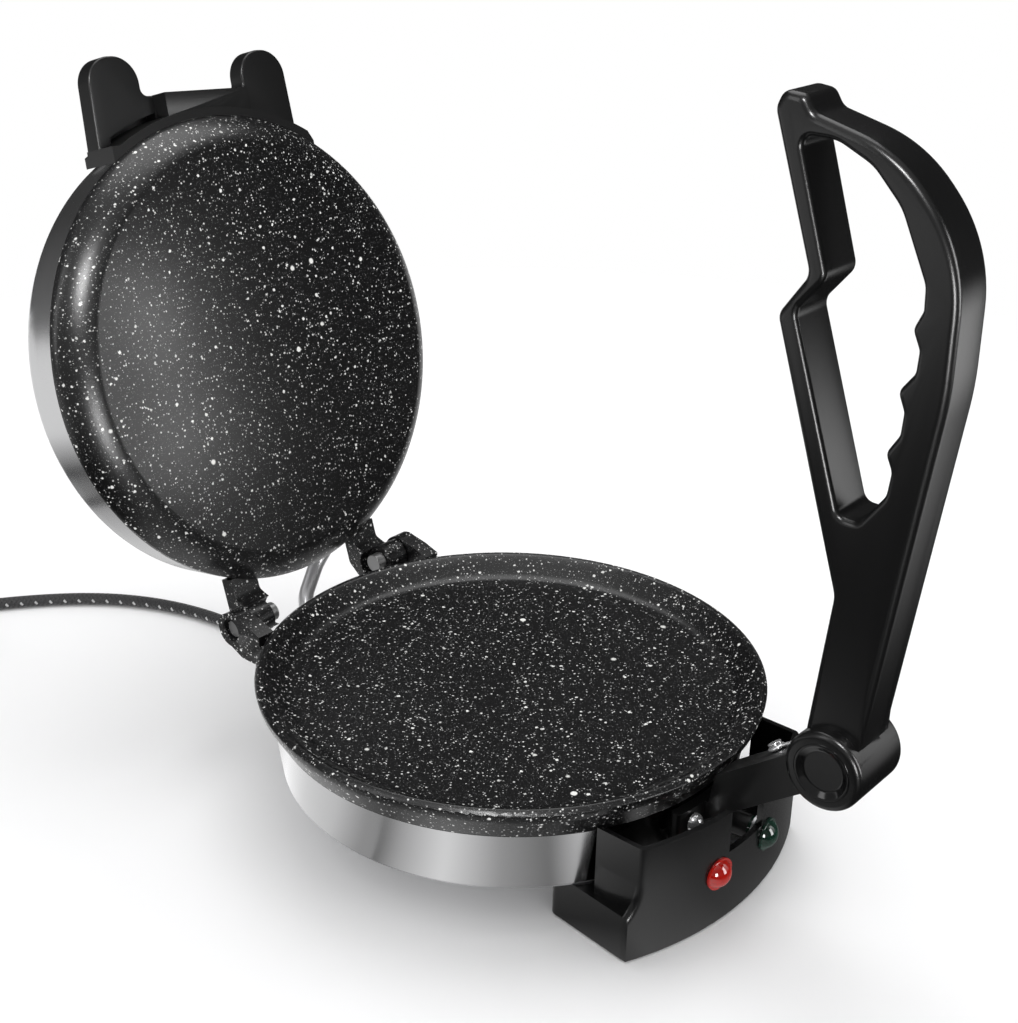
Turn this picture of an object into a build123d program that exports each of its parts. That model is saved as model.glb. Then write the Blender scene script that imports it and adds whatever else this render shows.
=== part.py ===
from build123d import *
import math
import os

# Electric roti maker, standing open: lower plate level, lid laid back on its hinges, press lever upright.
# Frame: origin at the centre of the lower cooking surface, +Z up, -Y to the front (the lever's side).
# All lengths are millimetres and all angles degrees.

# ---- heights above and below the lower cooking surface ----
table_z = -64.0            # worktop
pad_proud = 1.0            # how far the rubber pads stand out below the feet
rim_height = 10.0          # rim crest of the lower plate
skirt_z = -8.5             # lower edge of the coated wall
band_bottom_z = -39.0      # lower edge of the steel band
foot_top_z = -40.0         # tops of the front housing's low part and of the rear foot
housing_top_z = -5.0       # open top edge of the front housing

# ---- lower plate ----
rim_radius = 127.0
rim_slope = 16.0           # from the rim's outer edge in to the flat floor
plate_thickness = 6.0
skirt_inset = 8.0          # foot of the coated wall, in from the rim's outer edge
skirt_wall = 5.0
floor_radius = rim_radius - rim_slope
skirt_radius = rim_radius - skirt_inset

# ---- lid, in the closed position ----
lid_inset = 4.7            # the lid's rim, in from the lower rim
lid_radius = rim_radius - lid_inset
press_inset = 5.2          # flat pressing disc, in from the edge of the floor
press_radius = floor_radius - press_inset
press_proud = 14.6         # disc face below the lid's rim plane
press_gap = 0.4            # left between the disc and the cooking surface
lid_plate_thickness = 6.0
cover_depth = 29.5         # steel cover, rim plane to shoulder
cover_taper = 2.3          # how far the cover's side draws in, up to its shoulder
cover_back_radius = lid_radius - cover_taper
cover_crown = 3.0          # rise of the cover's back at its middle
cover_corner = 7.0
sheet = 0.8                # steel sheet of the cover and the band

# ---- lid hinge ----
hinge_beyond = 7.0         # hinge axis, out from the lower rim
hinge_y = rim_radius + hinge_beyond
hinge_z = 5.7
open_angle = 106.9         # lid travel, closed to laid back on its stop
hinge_pin_radius = 3.0
eye_radius = 9.4
leg_eye_radius = eye_radius - 1.2
lug_inner_x = 57.2
lug_outer_x = 67.0
strap_inner_x = 35.5       # inner side of the leg's strap
leg_inner_x = 43.5         # inner end of the eye, with the nut beside it
leg_outer_x = 56.5         # outer end of the eye
leg_face_x = 52.5          # outer face of the leg above it
leg_depth = 8.0            # thickness of the lid's legs, back from the rim plane
leg_root = 22.0            # where a leg grows out of the plate, in from the hinge axis

# ---- press lever ----
hub_beyond = 58.0          # lever's axle, out from the lower rim
hub_y = -rim_radius - hub_beyond
hub_z = 37.5
hub_radius = 18.3
hub_half = 18.4
lever_half = 12.5
parting_x = 4.5            # plane where the two lever mouldings meet
lever_fold = 73.0          # travel, upright to resting on the closed lid
axle_radius = 4.0
running_gap = 0.05

# ---- lever bracket ----
arm_half = 8.5
arm_rise = 37.3            # slope of the arm
arm_half_height = 9.1
tongue_far_x = 1.0         # the tongue is relieved beyond this plane to leave room for the spring
flange_half = 26.0
flange_thickness = 5.0

# ---- front housing ----
housing_arc_radius = 161.5
housing_beyond = 15.5      # middle of the curved front, out from the lower rim
housing_arc_y = housing_arc_radius - rim_radius - housing_beyond
housing_half_low = 69.0
housing_rear_draw = 5.0    # how far each side draws in towards the back
housing_half_rear = housing_half_low - housing_rear_draw
housing_flare = 5.5        # how far each side draws in from the foot to the open top
housing_half_top = housing_half_low - housing_flare
housing_rear_inset = 48.0  # straight back of the housing, in from the lower rim
housing_rear_y = -rim_radius + housing_rear_inset
housing_wall = 2.5
front_wall = 3.0
slot_half = 13.5
slot_bottom_z = -27.0
lamp_x = 20.0
lamp_z = -35.3
lamp_radius = 8.0
lamp_dome = 5.5

# ---- rear foot ----
rear_foot_half = 45.0
rear_foot_depth = 38.0
rear_foot_inset = 5.0      # its back, in from the coated wall
rear_foot_back_y = skirt_radius - rear_foot_inset
rear_foot_front_y = rear_foot_back_y - rear_foot_depth

# ---- cord ----
cord_diameter = 7.0
cord_x = 12.0
cord_exit_z = -52.0
relief_length = 34.0
coil_x, coil_y = -141.0, 356.0
coil_inner, coil_outer = 31.5, 45.5

rim_plane_z = press_gap + press_proud          # lid's rim plane when closed
hinge_axis = Axis((0, hinge_y, hinge_z), (1, 0, 0))

os.makedirs("parts", exist_ok=True)


def save(name, *solids):
    """Write one node: a single solid, or a group of identical ones."""
    shape = solids[0] if len(solids) == 1 else Compound(children=list(solids))
    export_step(shape, f"parts/{name}.step")


def laid_back(shape):
    """Turn a piece of the lid from its closed position to the open one."""
    return shape.rotate(hinge_axis, -open_angle)


def closed_face(corners, rounds=None):
    """Flat face inside a run of (a, b) corners, each with its own round."""
    radii = [0] * len(corners) if rounds is None else rounds
    return make_face(FilletPolyline(*corners, radius=radii, close=True))


def turned(corners, rounds=None):
    """Solid of revolution about Z from (radius, height) corners."""
    return revolve(Plane.XZ * closed_face(corners, rounds), Axis.Z)


def side_slab(face, low_x, high_x):
    """A face drawn in (y, z) made into a slab between two X planes."""
    return extrude(Plane((low_x, 0, 0), x_dir=(0, 1, 0), z_dir=(1, 0, 0)) * face, high_x - low_x)


def tall_slab(face, low_z, high_z):
    """A face drawn in (x, y) made into a slab between two heights."""
    return extrude(Pos(0, 0, low_z) * face, high_z - low_z)


def box_between(low, high):
    """A box from its lowest to its highest corner."""
    size = [b - a for a, b in zip(low, high)]
    middle = [(a + b) / 2 for a, b in zip(low, high)]
    return Pos(*middle) * Box(*size)


def rod(start, end, radius):
    """A round bar between two points."""
    path = Vector(*end) - Vector(*start)
    return extrude(Plane(start, z_dir=path) * Circle(radius), path.length)


def tube_along(points, radii, radius):
    """A round bar along straight runs joined by tangent arcs."""
    path = FilletPolyline(*points, radius=radii)
    start = Plane(path @ 0, z_dir=path % 0)
    return sweep(start * Circle(radius), path)


def only(shape):
    """The one solid of a shape that is known to be in one piece."""
    return shape.solids().sort_by(SortBy.VOLUME)[-1]


# ------------------------------------------------------------------ lower plate

stud_ring = skirt_radius - 23.0
stud_angles = (35, 145, 215, 325)
stud_radius = 5.0
stud_bore = 1.8


def studs(low_z, high_z, radius):
    """Round posts on the stud ring, clear of the two feet."""
    face = Sketch() + [Pos(stud_ring * math.cos(math.radians(a)), stud_ring * math.sin(math.radians(a)))
                       * Circle(radius) for a in stud_angles]
    return tall_slab(face, low_z, high_z)


def lug_face():
    """Side view of one hinge lug, from the eye forward to the plate's wall."""
    block = closed_face([(hinge_y, hinge_z + eye_radius), (hinge_y - 13, rim_height + 2.6),
                         (hinge_y - 22, rim_height - 0.4), (hinge_y - 22, 4), (hinge_y - 34, 4),
                         (hinge_y - 34, skirt_z + 1), (hinge_y - 8, skirt_z + 1),
                         (hinge_y, hinge_z - eye_radius)])
    return block + Pos(hinge_y, hinge_z) * Circle(eye_radius)


screw_spread = 17.0        # bracket screws, each side of the centre line
screw_z = -17.0
screw_bore = 2.1
boss_outer = skirt_radius - 3.8    # front boss that the bracket's screws enter
boss_inner = boss_outer - 11.2


def bracket_boss():
    """Block under the front of the plate, inside the band."""
    ring = Circle(boss_outer) - Circle(boss_inner)
    strip = Pos(0, -boss_outer) * Rectangle(2 * flange_half, 2 * boss_outer)
    return tall_slab(ring & strip, screw_z - 7, -plate_thickness + 0.5)


def screw_bores(radius, inner_y, outer_y):
    """Bores of the bracket's two screws, along Y."""
    return [rod((side * screw_spread, inner_y, screw_z), (side * screw_spread, outer_y, screw_z), radius)
            for side in (-1, 1)]


def lower_plate():
    wall_in = skirt_radius - skirt_wall
    plate = turned([(0, 0), (floor_radius, 0), (rim_radius - 4.6, rim_height - 0.6),
                    (rim_radius - 2.4, rim_height), (rim_radius, rim_height - 1.8),
                    (rim_radius - 0.8, rim_height - 6), (skirt_radius, skirt_z), (wall_in, skirt_z),
                    (wall_in, -plate_thickness), (0, -plate_thickness)],
                   [0, 10, 2, 1.5, 1, 6, 1, 0, 1, 0])
    for side in (-1, 1):
        lug = side_slab(lug_face(), lug_inner_x, lug_outer_x)
        lug = lug - Pos(0, 0, rim_height) * Cylinder(floor_radius + 6, 60)
        lug = lug - rod((0, hinge_y, hinge_z), (100, hinge_y, hinge_z), hinge_pin_radius)
        lug = lug - rod((lug_outer_x - 4, hinge_y, hinge_z), (100, hinge_y, hinge_z), 6.0)
        lug = fillet(lug.edges().filter_by(Axis.X).group_by(Axis.Z)[-1], 1.0)
        plate += lug if side > 0 else mirror(lug, Plane.YZ)
    plate += bracket_boss()
    for bore in screw_bores(screw_bore, -boss_inner, -boss_outer - 1):
        plate -= bore
    plate += studs(band_bottom_z, -plate_thickness + 0.5, stud_radius)
    plate += clamp_posts(-plate_thickness - 2 * heater_tube, -plate_thickness + 0.5, clamp_boss)
    plate -= clamp_posts(-plate_thickness - 8, -plate_thickness + 1, clamp_screw)
    plate -= studs(band_bottom_z, -plate_thickness - 10, stud_bore)
    return only(plate)


# ------------------------------------------------------------------ lower body

heater_ring = 70.0
heater_tube = 3.25
clamp_sheet = 1.2
clamp_radius = heater_ring + 8.0
clamp_inner = heater_ring - 25.0
clamp_ring = heater_ring - 14.0    # circle of the clamp plates' screws
clamp_angles = (30, 150, 270)
clamp_boss = 4.0
clamp_screw = 1.5


heater_gap_half = 9.0      # half the distance between the element's two ends
heater_sleeve = 4.3        # terminal sleeves
heater_sleeve_length = 17.0


def heater(seat_z, away):
    """Tubular element lying on a plate; away is +1 or -1, the side its two terminal sleeves point to."""
    middle = seat_z + away * heater_tube
    open_half = math.degrees(math.asin(heater_gap_half / heater_ring))
    section = Plane((heater_ring, 0, middle), x_dir=(1, 0, 0), z_dir=(0, -1, 0)) * Circle(heater_tube)
    ring = revolve(section, Axis.Z, 360 - 2 * open_half).rotate(Axis.Z, open_half - 90)
    end_y = -math.sqrt(heater_ring ** 2 - heater_gap_half ** 2)
    for side in (-1, 1):
        foot = (side * heater_gap_half, end_y, middle - away * (heater_tube - 0.3))
        top = (side * heater_gap_half, end_y, middle + away * heater_sleeve_length)
        ring += rod(foot, top, heater_sleeve)
    return only(ring)


def clamp_plate(seat_z, away):
    """Pressed plate that holds the element against the cooking plate, with clearance slots for its ends."""
    low = seat_z + away * 2 * heater_tube
    high = low + away * clamp_sheet
    face = Circle(clamp_radius) - Circle(clamp_inner)
    face = face - Pos(0, -heater_ring) * Rectangle(2 * heater_gap_half + 12, 14)
    plate = tall_slab(face, min(low, high), max(low, high))
    return only(plate - clamp_posts(low - 2, high + 2, clamp_screw + 0.3))


def clamp_posts(low_z, high_z, radius):
    """Round bosses, or their bores, on the circle of a clamp plate's screws."""
    spots = [(clamp_ring * math.cos(math.radians(a)), clamp_ring * math.sin(math.radians(a))) for a in clamp_angles]
    return tall_slab(Sketch() + [Pos(*spot) * Circle(radius) for spot in spots], low_z, high_z)


def clamp_screws(seat_z, away):
    """Screws that hold a clamp plate against its plate's bosses."""
    seat = seat_z + away * (2 * heater_tube + clamp_sheet)
    screws = []
    for a in clamp_angles:
        place = Pos(clamp_ring * math.cos(math.radians(a)), clamp_ring * math.sin(math.radians(a)), seat)
        screw = pan_screw((0, 0, 0), 7, head_radius=3.2, shank_radius=clamp_screw)
        screws.append(place * (Rot(180, 0, 0) * screw if away > 0 else screw))
    return screws


def lower_shell():
    """Steel band round the lower body, with a flange turned in at its foot."""
    top = (skirt_radius, skirt_z)
    foot = (skirt_radius - 4.2, band_bottom_z)
    band = turned([top, foot, (foot[0] - 8, foot[1]), (foot[0] - 8, foot[1] + sheet),
                   (foot[0] - sheet - 0.1, foot[1] + sheet), (top[0] - sheet, top[1])],
                  [0, 0.6, 0, 0, 0, 0])
    for bore in screw_bores(3.2, -boss_inner, -skirt_radius - 1):
        band -= bore
    band -= rod((conduit_base_x, skirt_radius - 19, conduit_base_z),
                (conduit_base_x, conduit_base_y + 2.5, conduit_base_z), 6.0)
    return only(band)


def bottom_cover():
    face = Circle(skirt_radius - 5.0)
    cover = tall_slab(face, foot_top_z, band_bottom_z)
    cover -= studs(foot_top_z - 1, band_bottom_z + 1, 2.2)
    for x, y in foot_screw_places():
        cover -= Pos(x, y, foot_top_z) * Cylinder(1.9, 6)
    cover -= Pos(0, -rim_radius + 29, foot_top_z) * Cylinder(lead_hole_radius, 6)
    cover -= Pos(cord_x, lead_hole_y, foot_top_z) * Cylinder(lead_hole_radius, 6)
    return only(cover)


def foot_screw_places():
    """Screws that hold the front housing and the rear foot to the bottom cover."""
    front_x, front_y = 45.0, -rim_radius + 37
    rear_x, rear_y = rear_foot_half - 22, rear_foot_front_y + 7
    return [(-front_x, front_y), (front_x, front_y), (-rear_x, rear_y), (rear_x, rear_y)]


def pan_screw(place, length, head_radius=3.6, shank_radius=1.75, head=2.2):
    """Pan-head screw, head down, shank pointing up from the place of its seat."""
    body = Pos(0, 0, length / 2) * Cylinder(shank_radius, length)
    cap = Pos(0, 0, -head / 2) * Cylinder(head_radius, head)
    cap = fillet(cap.edges().group_by(Axis.Z)[0], head * 0.6)
    cross = Pos(0, 0, -head) * (Box(head_radius * 1.1, 0.9, 1.6) + Box(0.9, head_radius * 1.1, 1.6))
    return Pos(*place) * only(body + cap - cross)


def bottom_screws():
    """Screws up through the bottom cover into the plate's posts."""
    return [pan_screw((stud_ring * math.cos(math.radians(a)), stud_ring * math.sin(math.radians(a)), foot_top_z),
                      9, shank_radius=stud_bore) for a in stud_angles]


def foot_screws():
    """Four screws up through the feet into the bottom cover."""
    return [pan_screw((x, y, foot_top_z - housing_wall), 5.5, shank_radius=1.6) for x, y in foot_screw_places()]


thermostat_x, thermostat_y = 26.0, 2.0


def thermostat():
    """Bimetal disc thermostat pressed to the underside of the plate, with two blade terminals."""
    body = Pos(thermostat_x, thermostat_y, -plate_thickness - 5.5) * Cylinder(8.2, 11)
    cap = Pos(thermostat_x, thermostat_y, -plate_thickness - 1) * Cylinder(9.2, 2)
    blades = [box_between((thermostat_x + dx - 0.4, thermostat_y - 3, -plate_thickness - 19),
                          (thermostat_x + dx + 0.4, thermostat_y + 3, -plate_thickness - 10.5)) for dx in (-5, 5)]
    return only(body + cap + blades)


def thermostat_bracket():
    """Strap that presses the thermostat to the plate, with a foot at each end on the plate."""
    top = -plate_thickness
    strap = box_between((thermostat_x - 3.2, thermostat_y - 14, top - 12.2),
                        (thermostat_x + 3.2, thermostat_y + 14, top - 11.0))
    for side in (-1, 1):
        y = thermostat_y + side * 13.4
        strap += box_between((thermostat_x - 3.2, y - 0.6, top - 12.2), (thermostat_x + 3.2, y + 0.6, top))
    return only(strap)


def thermal_fuse():
    """Axial thermal fuse in its sleeve, lying against the plate."""
    y = -20.0
    body = rod((-14, y, -plate_thickness - 2.5), (14, y, -plate_thickness - 2.5), 2.5)
    leads = rod((-24, y, -plate_thickness - 2.5), (24, y, -plate_thickness - 2.5), 0.6)
    return only(body + leads)


def terminal_block():
    """Three-way ceramic terminal block on the bottom cover."""
    block = box_between((-18, 40, band_bottom_z), (18, 56, band_bottom_z + 12))
    for x in (-12, 0, 12):
        block -= rod((x, 39, band_bottom_z + 6), (x, 57, band_bottom_z + 6), 2.0)
        block -= Pos(x, 48, band_bottom_z + 11) * Cylinder(2.4, 4)
    return only(block)


# ------------------------------------------------------------------ front housing and lamps

housing_corner_y = -rim_radius + 3.0   # the sides are widest from here forward
past_front_y = -rim_radius - 43.0      # a line safely beyond the curved front
ledge_y = -rim_radius + 23.0           # the upper part stands in front of this line
lead_hole_radius = 7.0
lead_hole_y = rear_foot_front_y + 16.0


def housing_plan(inset=0.0, wall=0.0):
    """Plan of the front housing, its curved front drawn as an arc about (0, housing_arc_y)."""
    disc = Pos(0, housing_arc_y) * Circle(housing_arc_radius - wall)
    half_rear = housing_half_rear - inset
    half_front = housing_half_low - inset
    sides = closed_face([(-half_rear, housing_rear_y - inset), (half_rear, housing_rear_y - inset),
                         (half_front, housing_corner_y), (half_front, past_front_y),
                         (-half_front, past_front_y), (-half_front, housing_corner_y)])
    return disc & sides


def flare_face():
    """Front view of the housing above its ledge: wide at the foot, drawn in to the open top."""
    half = [Line((0, foot_top_z), (housing_half_low, foot_top_z)),
            ThreePointArc((housing_half_low, foot_top_z), (housing_half_top + 1.5, foot_top_z + 7.5),
                          (housing_half_top, foot_top_z + 18)),
            Line((housing_half_top, foot_top_z + 18), (housing_half_top, housing_top_z)),
            Line((housing_half_top, housing_top_z), (0, housing_top_z)),
            Line((0, housing_top_z), (0, foot_top_z))]
    right = make_face(half)
    return right + mirror(right, Plane.YZ)


def lamp_plane(side):
    """Plane on the housing's curved front at one lamp, looking straight out of it."""
    root = math.sqrt(housing_arc_radius ** 2 - lamp_x ** 2)
    return Plane((side * lamp_x, housing_arc_y - root, lamp_z), z_dir=(side * lamp_x, -root, 0))


def front_housing():
    bottom = table_z + pad_proud
    low = tall_slab(housing_plan(), bottom, foot_top_z)
    low = fillet(low.edges().filter_by(Axis.Z).group_by(Axis.Y)[-1], 5)
    upper_plan = housing_plan() & Pos(0, ledge_y - 50) * Rectangle(160, 100)
    upper = tall_slab(upper_plan, foot_top_z - 1, housing_top_z)
    behind_ledge_y = ledge_y + 14
    front_view = extrude(Plane((0, behind_ledge_y, 0), x_dir=(1, 0, 0), z_dir=(0, -1, 0)) * flare_face(),
                         behind_ledge_y - past_front_y)
    upper = upper & (front_view + box_between((-80, past_front_y, foot_top_z - 1),
                                              (80, behind_ledge_y, foot_top_z)))
    body = low + upper
    body = fillet(body.edges().filter_by(Axis.Z).group_by(Axis.Y)[0], 4)
    # open top, behind the front wall and between the side walls
    inside = Pos(0, housing_arc_y) * Circle(housing_arc_radius - front_wall)
    front_middle_y = -rim_radius - 3
    between = Pos(0, front_middle_y) * Rectangle(2 * (housing_half_top - housing_wall), 100)
    body -= tall_slab(inside & between, foot_top_z, housing_top_z + 1)
    for side in (-1, 1):
        beside = Pos(side * (housing_half_top + 15), front_middle_y + 10) * Rectangle(30, 60)
        body -= tall_slab(inside & beside, foot_top_z, housing_top_z + 1)
    body -= Pos(0, 0, foot_top_z + 30) * Cylinder(skirt_radius + 2, 60)
    # hollow underneath
    body -= tall_slab(housing_plan(housing_wall, front_wall), bottom - 1, foot_top_z - housing_wall)
    # way for the arm, and for the lamps and their leads
    body -= box_between((-slot_half, past_front_y, slot_bottom_z),
                        (slot_half, front_middle_y + 10, housing_top_z + 1))
    lamp_well = inside & Pos(0, front_middle_y) * Rectangle(2 * (lamp_x + 14), 36)
    body -= tall_slab(lamp_well, foot_top_z - 4.5, foot_top_z + 1)
    for side in (-1, 1):
        body -= extrude(lamp_plane(side) * Circle(lamp_radius - 2), amount=10, both=True)
    # posts for the pads and for the two screws
    for x, y in pad_places()[:2]:
        body += Pos(x, y, (bottom + foot_top_z) / 2) * Cylinder(8, foot_top_z - bottom)
    for x, y in foot_screw_places()[:2]:
        body -= Pos(x, y, foot_top_z) * Cylinder(1.9, 12)
    for x, y in pad_places()[:2]:
        body -= Pos(x, y, bottom) * Cylinder(pad_radius, 2 * pad_seat)
    return only(body)


pad_radius = 6.0
pad_seat = 2.0             # depth of the pads' sockets


def pad_places():
    """The four rubber pads: two under the front housing and two under the rear foot."""
    front_x, front_y = 50.0, -rim_radius + 15
    rear_x, rear_y = rear_foot_half - 11.5, rear_foot_front_y + 20
    return [(-front_x, front_y), (front_x, front_y), (-rear_x, rear_y), (rear_x, rear_y)]


def foot_pads():
    height = pad_seat + pad_proud
    return [Pos(x, y, table_z + height / 2) * Cylinder(pad_radius, height) for x, y in pad_places()]


def lamp_lens(side):
    """Domed lens with a flange that lies on the housing and a stem that passes through it."""
    stem = lamp_radius - 2.1
    foot, rise = lamp_radius - 1, lamp_dome - 1
    sphere_radius = (foot ** 2 + rise ** 2) / (2 * rise)
    half_way = math.asin(foot / sphere_radius) / 2
    shoulder = (sphere_radius * math.sin(half_way), lamp_dome - sphere_radius * (1 - math.cos(half_way)))
    dome_arc = ThreePointArc((foot, 1.0), shoulder, (0, lamp_dome))
    outline = [Line((0, -front_wall - 5), (stem, -front_wall - 5)), Line((stem, -front_wall - 5), (stem, 0)),
               Line((stem, 0), (lamp_radius, 0)), Line((lamp_radius, 0), (lamp_radius, 1.0)),
               Line((lamp_radius, 1.0), (foot, 1.0)), dome_arc,
               Line((0, lamp_dome), (0, -front_wall - 5))]
    lens = revolve(Plane.XZ * make_face(outline), Axis.Z)
    return lamp_plane(side) * lens


def lamp_body(side):
    """Neon lamp holder behind the lens, with two blade terminals."""
    back = -front_wall - 5
    body = Pos(0, 0, back - 6) * Cylinder(5.2, 12)
    body += Pos(0, 0, back - 0.75) * Cylinder(5.9, 1.5)
    blades = [Pos(dx, 0, back - 15) * Box(0.8, 4, 8) for dx in (-2.6, 2.6)]
    return lamp_plane(side) * only(body + blades)


def lamp_clip(side):
    """Push-on ring that holds the lens against the inside of the front wall."""
    ring = Cylinder(8.2, 1.2) - Cylinder(lamp_radius - 2.1, 1.2)
    return lamp_plane(side) * (Pos(0, 0, -front_wall - 2.2) * ring)


# ------------------------------------------------------------------ rear foot

def rear_foot():
    bottom = table_z + pad_proud
    outline = [(-rear_foot_half, rear_foot_front_y), (rear_foot_half, rear_foot_front_y),
               (rear_foot_half, rear_foot_back_y - 16), (rear_foot_half - 22, rear_foot_back_y),
               (-rear_foot_half + 22, rear_foot_back_y), (-rear_foot_half, rear_foot_back_y - 16)]
    foot = tall_slab(closed_face(outline, [4, 4, 8, 8, 8, 8]), bottom, foot_top_z)
    inner = [(x * (1 - housing_wall / rear_foot_half), y + (housing_wall if y < rear_foot_front_y + 1 else -housing_wall))
             for x, y in outline]
    foot -= tall_slab(closed_face(inner, [2, 2, 6, 6, 6, 6]), bottom - 1, foot_top_z - housing_wall)
    for x, y in pad_places()[2:]:
        foot += Pos(x, y, (bottom + foot_top_z) / 2) * Cylinder(7.5, foot_top_z - bottom)
        foot -= Pos(x, y, bottom) * Cylinder(pad_radius, 2 * pad_seat)
    for x, y in foot_screw_places()[2:]:
        foot -= Pos(x, y, foot_top_z) * Cylinder(1.9, 12)
    foot -= rod((cord_x, rear_foot_back_y - 8, cord_exit_z), (cord_x, rear_foot_back_y + 2, cord_exit_z), 5.5)
    foot -= Pos(cord_x, lead_hole_y, foot_top_z) * Cylinder(lead_hole_radius, 12)
    return only(foot)


# ------------------------------------------------------------------ lever bracket

arm_along = (math.cos(math.radians(arm_rise)), -math.sin(math.radians(arm_rise)))
tongue_radius = 12.0
tongue_reach = 31.0        # beyond this distance from the axle the arm has its full width


def along_arm(distance, offset):
    """(y, z) of a point that far down the arm from the axle, and that far above its middle line."""
    return (hub_y + distance * arm_along[0] - offset * arm_along[1],
            hub_z + distance * arm_along[1] + offset * arm_along[0])


def arm_face():
    """Side view of the arm, from the eye round the axle down to the flange."""
    top = along_arm(0, arm_half_height)
    low = along_arm(0, -arm_half_height)
    root_y = -skirt_radius - 1.2
    drop = math.tan(math.radians(arm_rise))
    low_end = (-boss_outer - 6, low[1] - (-boss_outer - 6 - low[0]) * drop)
    top_y = -rim_radius - 1.0
    top_end = (top_y, top[1] - (top_y - top[0]) * drop)
    face = closed_face([top, top_end, (top_y + 2.5, skirt_z - 1.6), (root_y, skirt_z - 1.6),
                        (root_y, low_end[1]), low_end, low])
    return face


def lever_bracket():
    """Cast bracket: flange under the plate's front, arm out through the housing's slot, and tongue."""
    arm = side_slab(arm_face(), -arm_half, arm_half)
    relief = Pos(0, hub_y, hub_z) * Rot(0, 90, 0) * Cylinder(tongue_reach, 100)
    keep_out = box_between((tongue_far_x, hub_y - 60, hub_z - 60), (40, hub_y + 60, hub_z + 60))
    arm -= relief & keep_out
    eye_middle = (tongue_far_x - arm_half) / 2
    arm += Pos(eye_middle, hub_y, hub_z) * Rot(0, 90, 0) * Cylinder(tongue_radius, tongue_far_x + arm_half)
    ring = Circle(skirt_radius + 0.4 + flange_thickness) - Circle(skirt_radius + 0.4)
    strip = Pos(0, -skirt_radius) * Rectangle(2 * flange_half, 2 * skirt_radius)
    flange = tall_slab(ring & strip, screw_z - 7.5, skirt_z - 1.6)
    flange = fillet(flange.edges().filter_by(Axis.Z), 1.5)
    body = only(arm + flange)
    body -= rod((-20, hub_y, hub_z), (20, hub_y, hub_z), axle_radius)
    for bore in screw_bores(2.6, -boss_inner, -skirt_radius - 10):
        body -= bore
    place = along_arm(spring_eye_at, arm_half_height)
    inward = along_arm(spring_eye_at, arm_half_height - 7)
    body -= rod((spring_x, *place), (spring_x, *inward), 1.2)
    return only(body)


def bracket_screws():
    """Two dome-head screws through the flange into the plate's boss."""
    seat = -math.sqrt((skirt_radius + 0.4 + flange_thickness) ** 2 - screw_spread ** 2) - 0.6
    screws = []
    for side in (-1, 1):
        x = side * screw_spread
        shank = rod((x, seat, screw_z), (x, -boss_inner - 1, screw_z), screw_bore)
        dome = Pos(x, seat, screw_z) * Rot(90, 0, 0) * (Sphere(4.6) & Pos(0, 0, 5) * Box(12, 12, 10))
        screws.append(only(shank + Pos(0, 0, 0) * dome))
    return screws


# ------------------------------------------------------------------ lever pivot

spring_wire = 0.9
spring_ring = 10.2         # mean radius of the coils, so that the leg lies on the arm
spring_x = 5.0             # middle of the coils
spring_turns = 4
spring_eye_at = 36.0       # distance of the leg's eye from the axle


def return_spring():
    """Close-wound torsion spring round the axle: one leg on the arm, the other up into the lever."""
    pitch = 2 * spring_wire - 0.06
    first = spring_x - pitch * (spring_turns - 1) / 2
    coil = None
    for turn in range(spring_turns):
        loop = Pos(first + turn * pitch, hub_y, hub_z) * Rot(0, 90, 0) * Torus(spring_ring, spring_wire)
        coil = loop if coil is None else coil + loop
    start = along_arm(0, spring_ring)
    end = along_arm(spring_eye_at - 3.2, spring_ring)
    coil += rod((spring_x, *start), (spring_x, *end), spring_wire)
    eye = along_arm(spring_eye_at, spring_ring)
    normal = (0, -arm_along[1], arm_along[0])
    coil += Plane((spring_x, *eye), z_dir=normal) * Torus(3.2, spring_wire)
    coil += rod((spring_x, hub_y + spring_ring, hub_z), (spring_x, hub_y + spring_ring, hub_z + 35), spring_wire)
    return only(coil)


def spring_screw():
    """Small screw through the spring's eye into the arm."""
    seat = along_arm(spring_eye_at, spring_ring + spring_wire)
    tip = along_arm(spring_eye_at, arm_half_height - 6)
    top = along_arm(spring_eye_at, spring_ring + spring_wire + 1.6)
    return only(rod((spring_x, *seat), (spring_x, *tip), 1.2) + rod((spring_x, *seat), (spring_x, *top), 3.2))


cheek_x = 9.2              # inner faces of the lever's two cheeks
cap_radius = 13.4
cap_seat = 2.6             # depth of the recess that each cap sits in
axle_head = 7.0
axle_head_depth = 3.0


def lever_axle():
    """Shoulder pin through both cheeks and the tongue, with a head at the near side."""
    near = -hub_half + cap_seat + 0.3
    shaft = rod((near, hub_y, hub_z), (hub_half - cap_seat - 4.4, hub_y, hub_z), axle_radius)
    head = rod((near, hub_y, hub_z), (near + axle_head_depth, hub_y, hub_z), axle_head)
    return only(shaft + head)


def axle_nut():
    """Nut at the far end of the axle."""
    face = RegularPolygon(6.6, 6) - Circle(axle_radius)
    low = hub_half - cap_seat - 4.6
    return only(Pos(0, hub_y, hub_z) * Rot(0, 90, 0) * extrude(Pos(0, 0, low) * face, 4.2))


def pivot_sleeve():
    """Steel sleeve on the axle that carries the spring."""
    face = Circle(8.9) - Circle(axle_radius)
    return Pos(tongue_far_x, hub_y, hub_z) * Rot(0, 90, 0) * extrude(face, cheek_x - 0.3 - tongue_far_x)


# ------------------------------------------------------------------ lever

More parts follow.
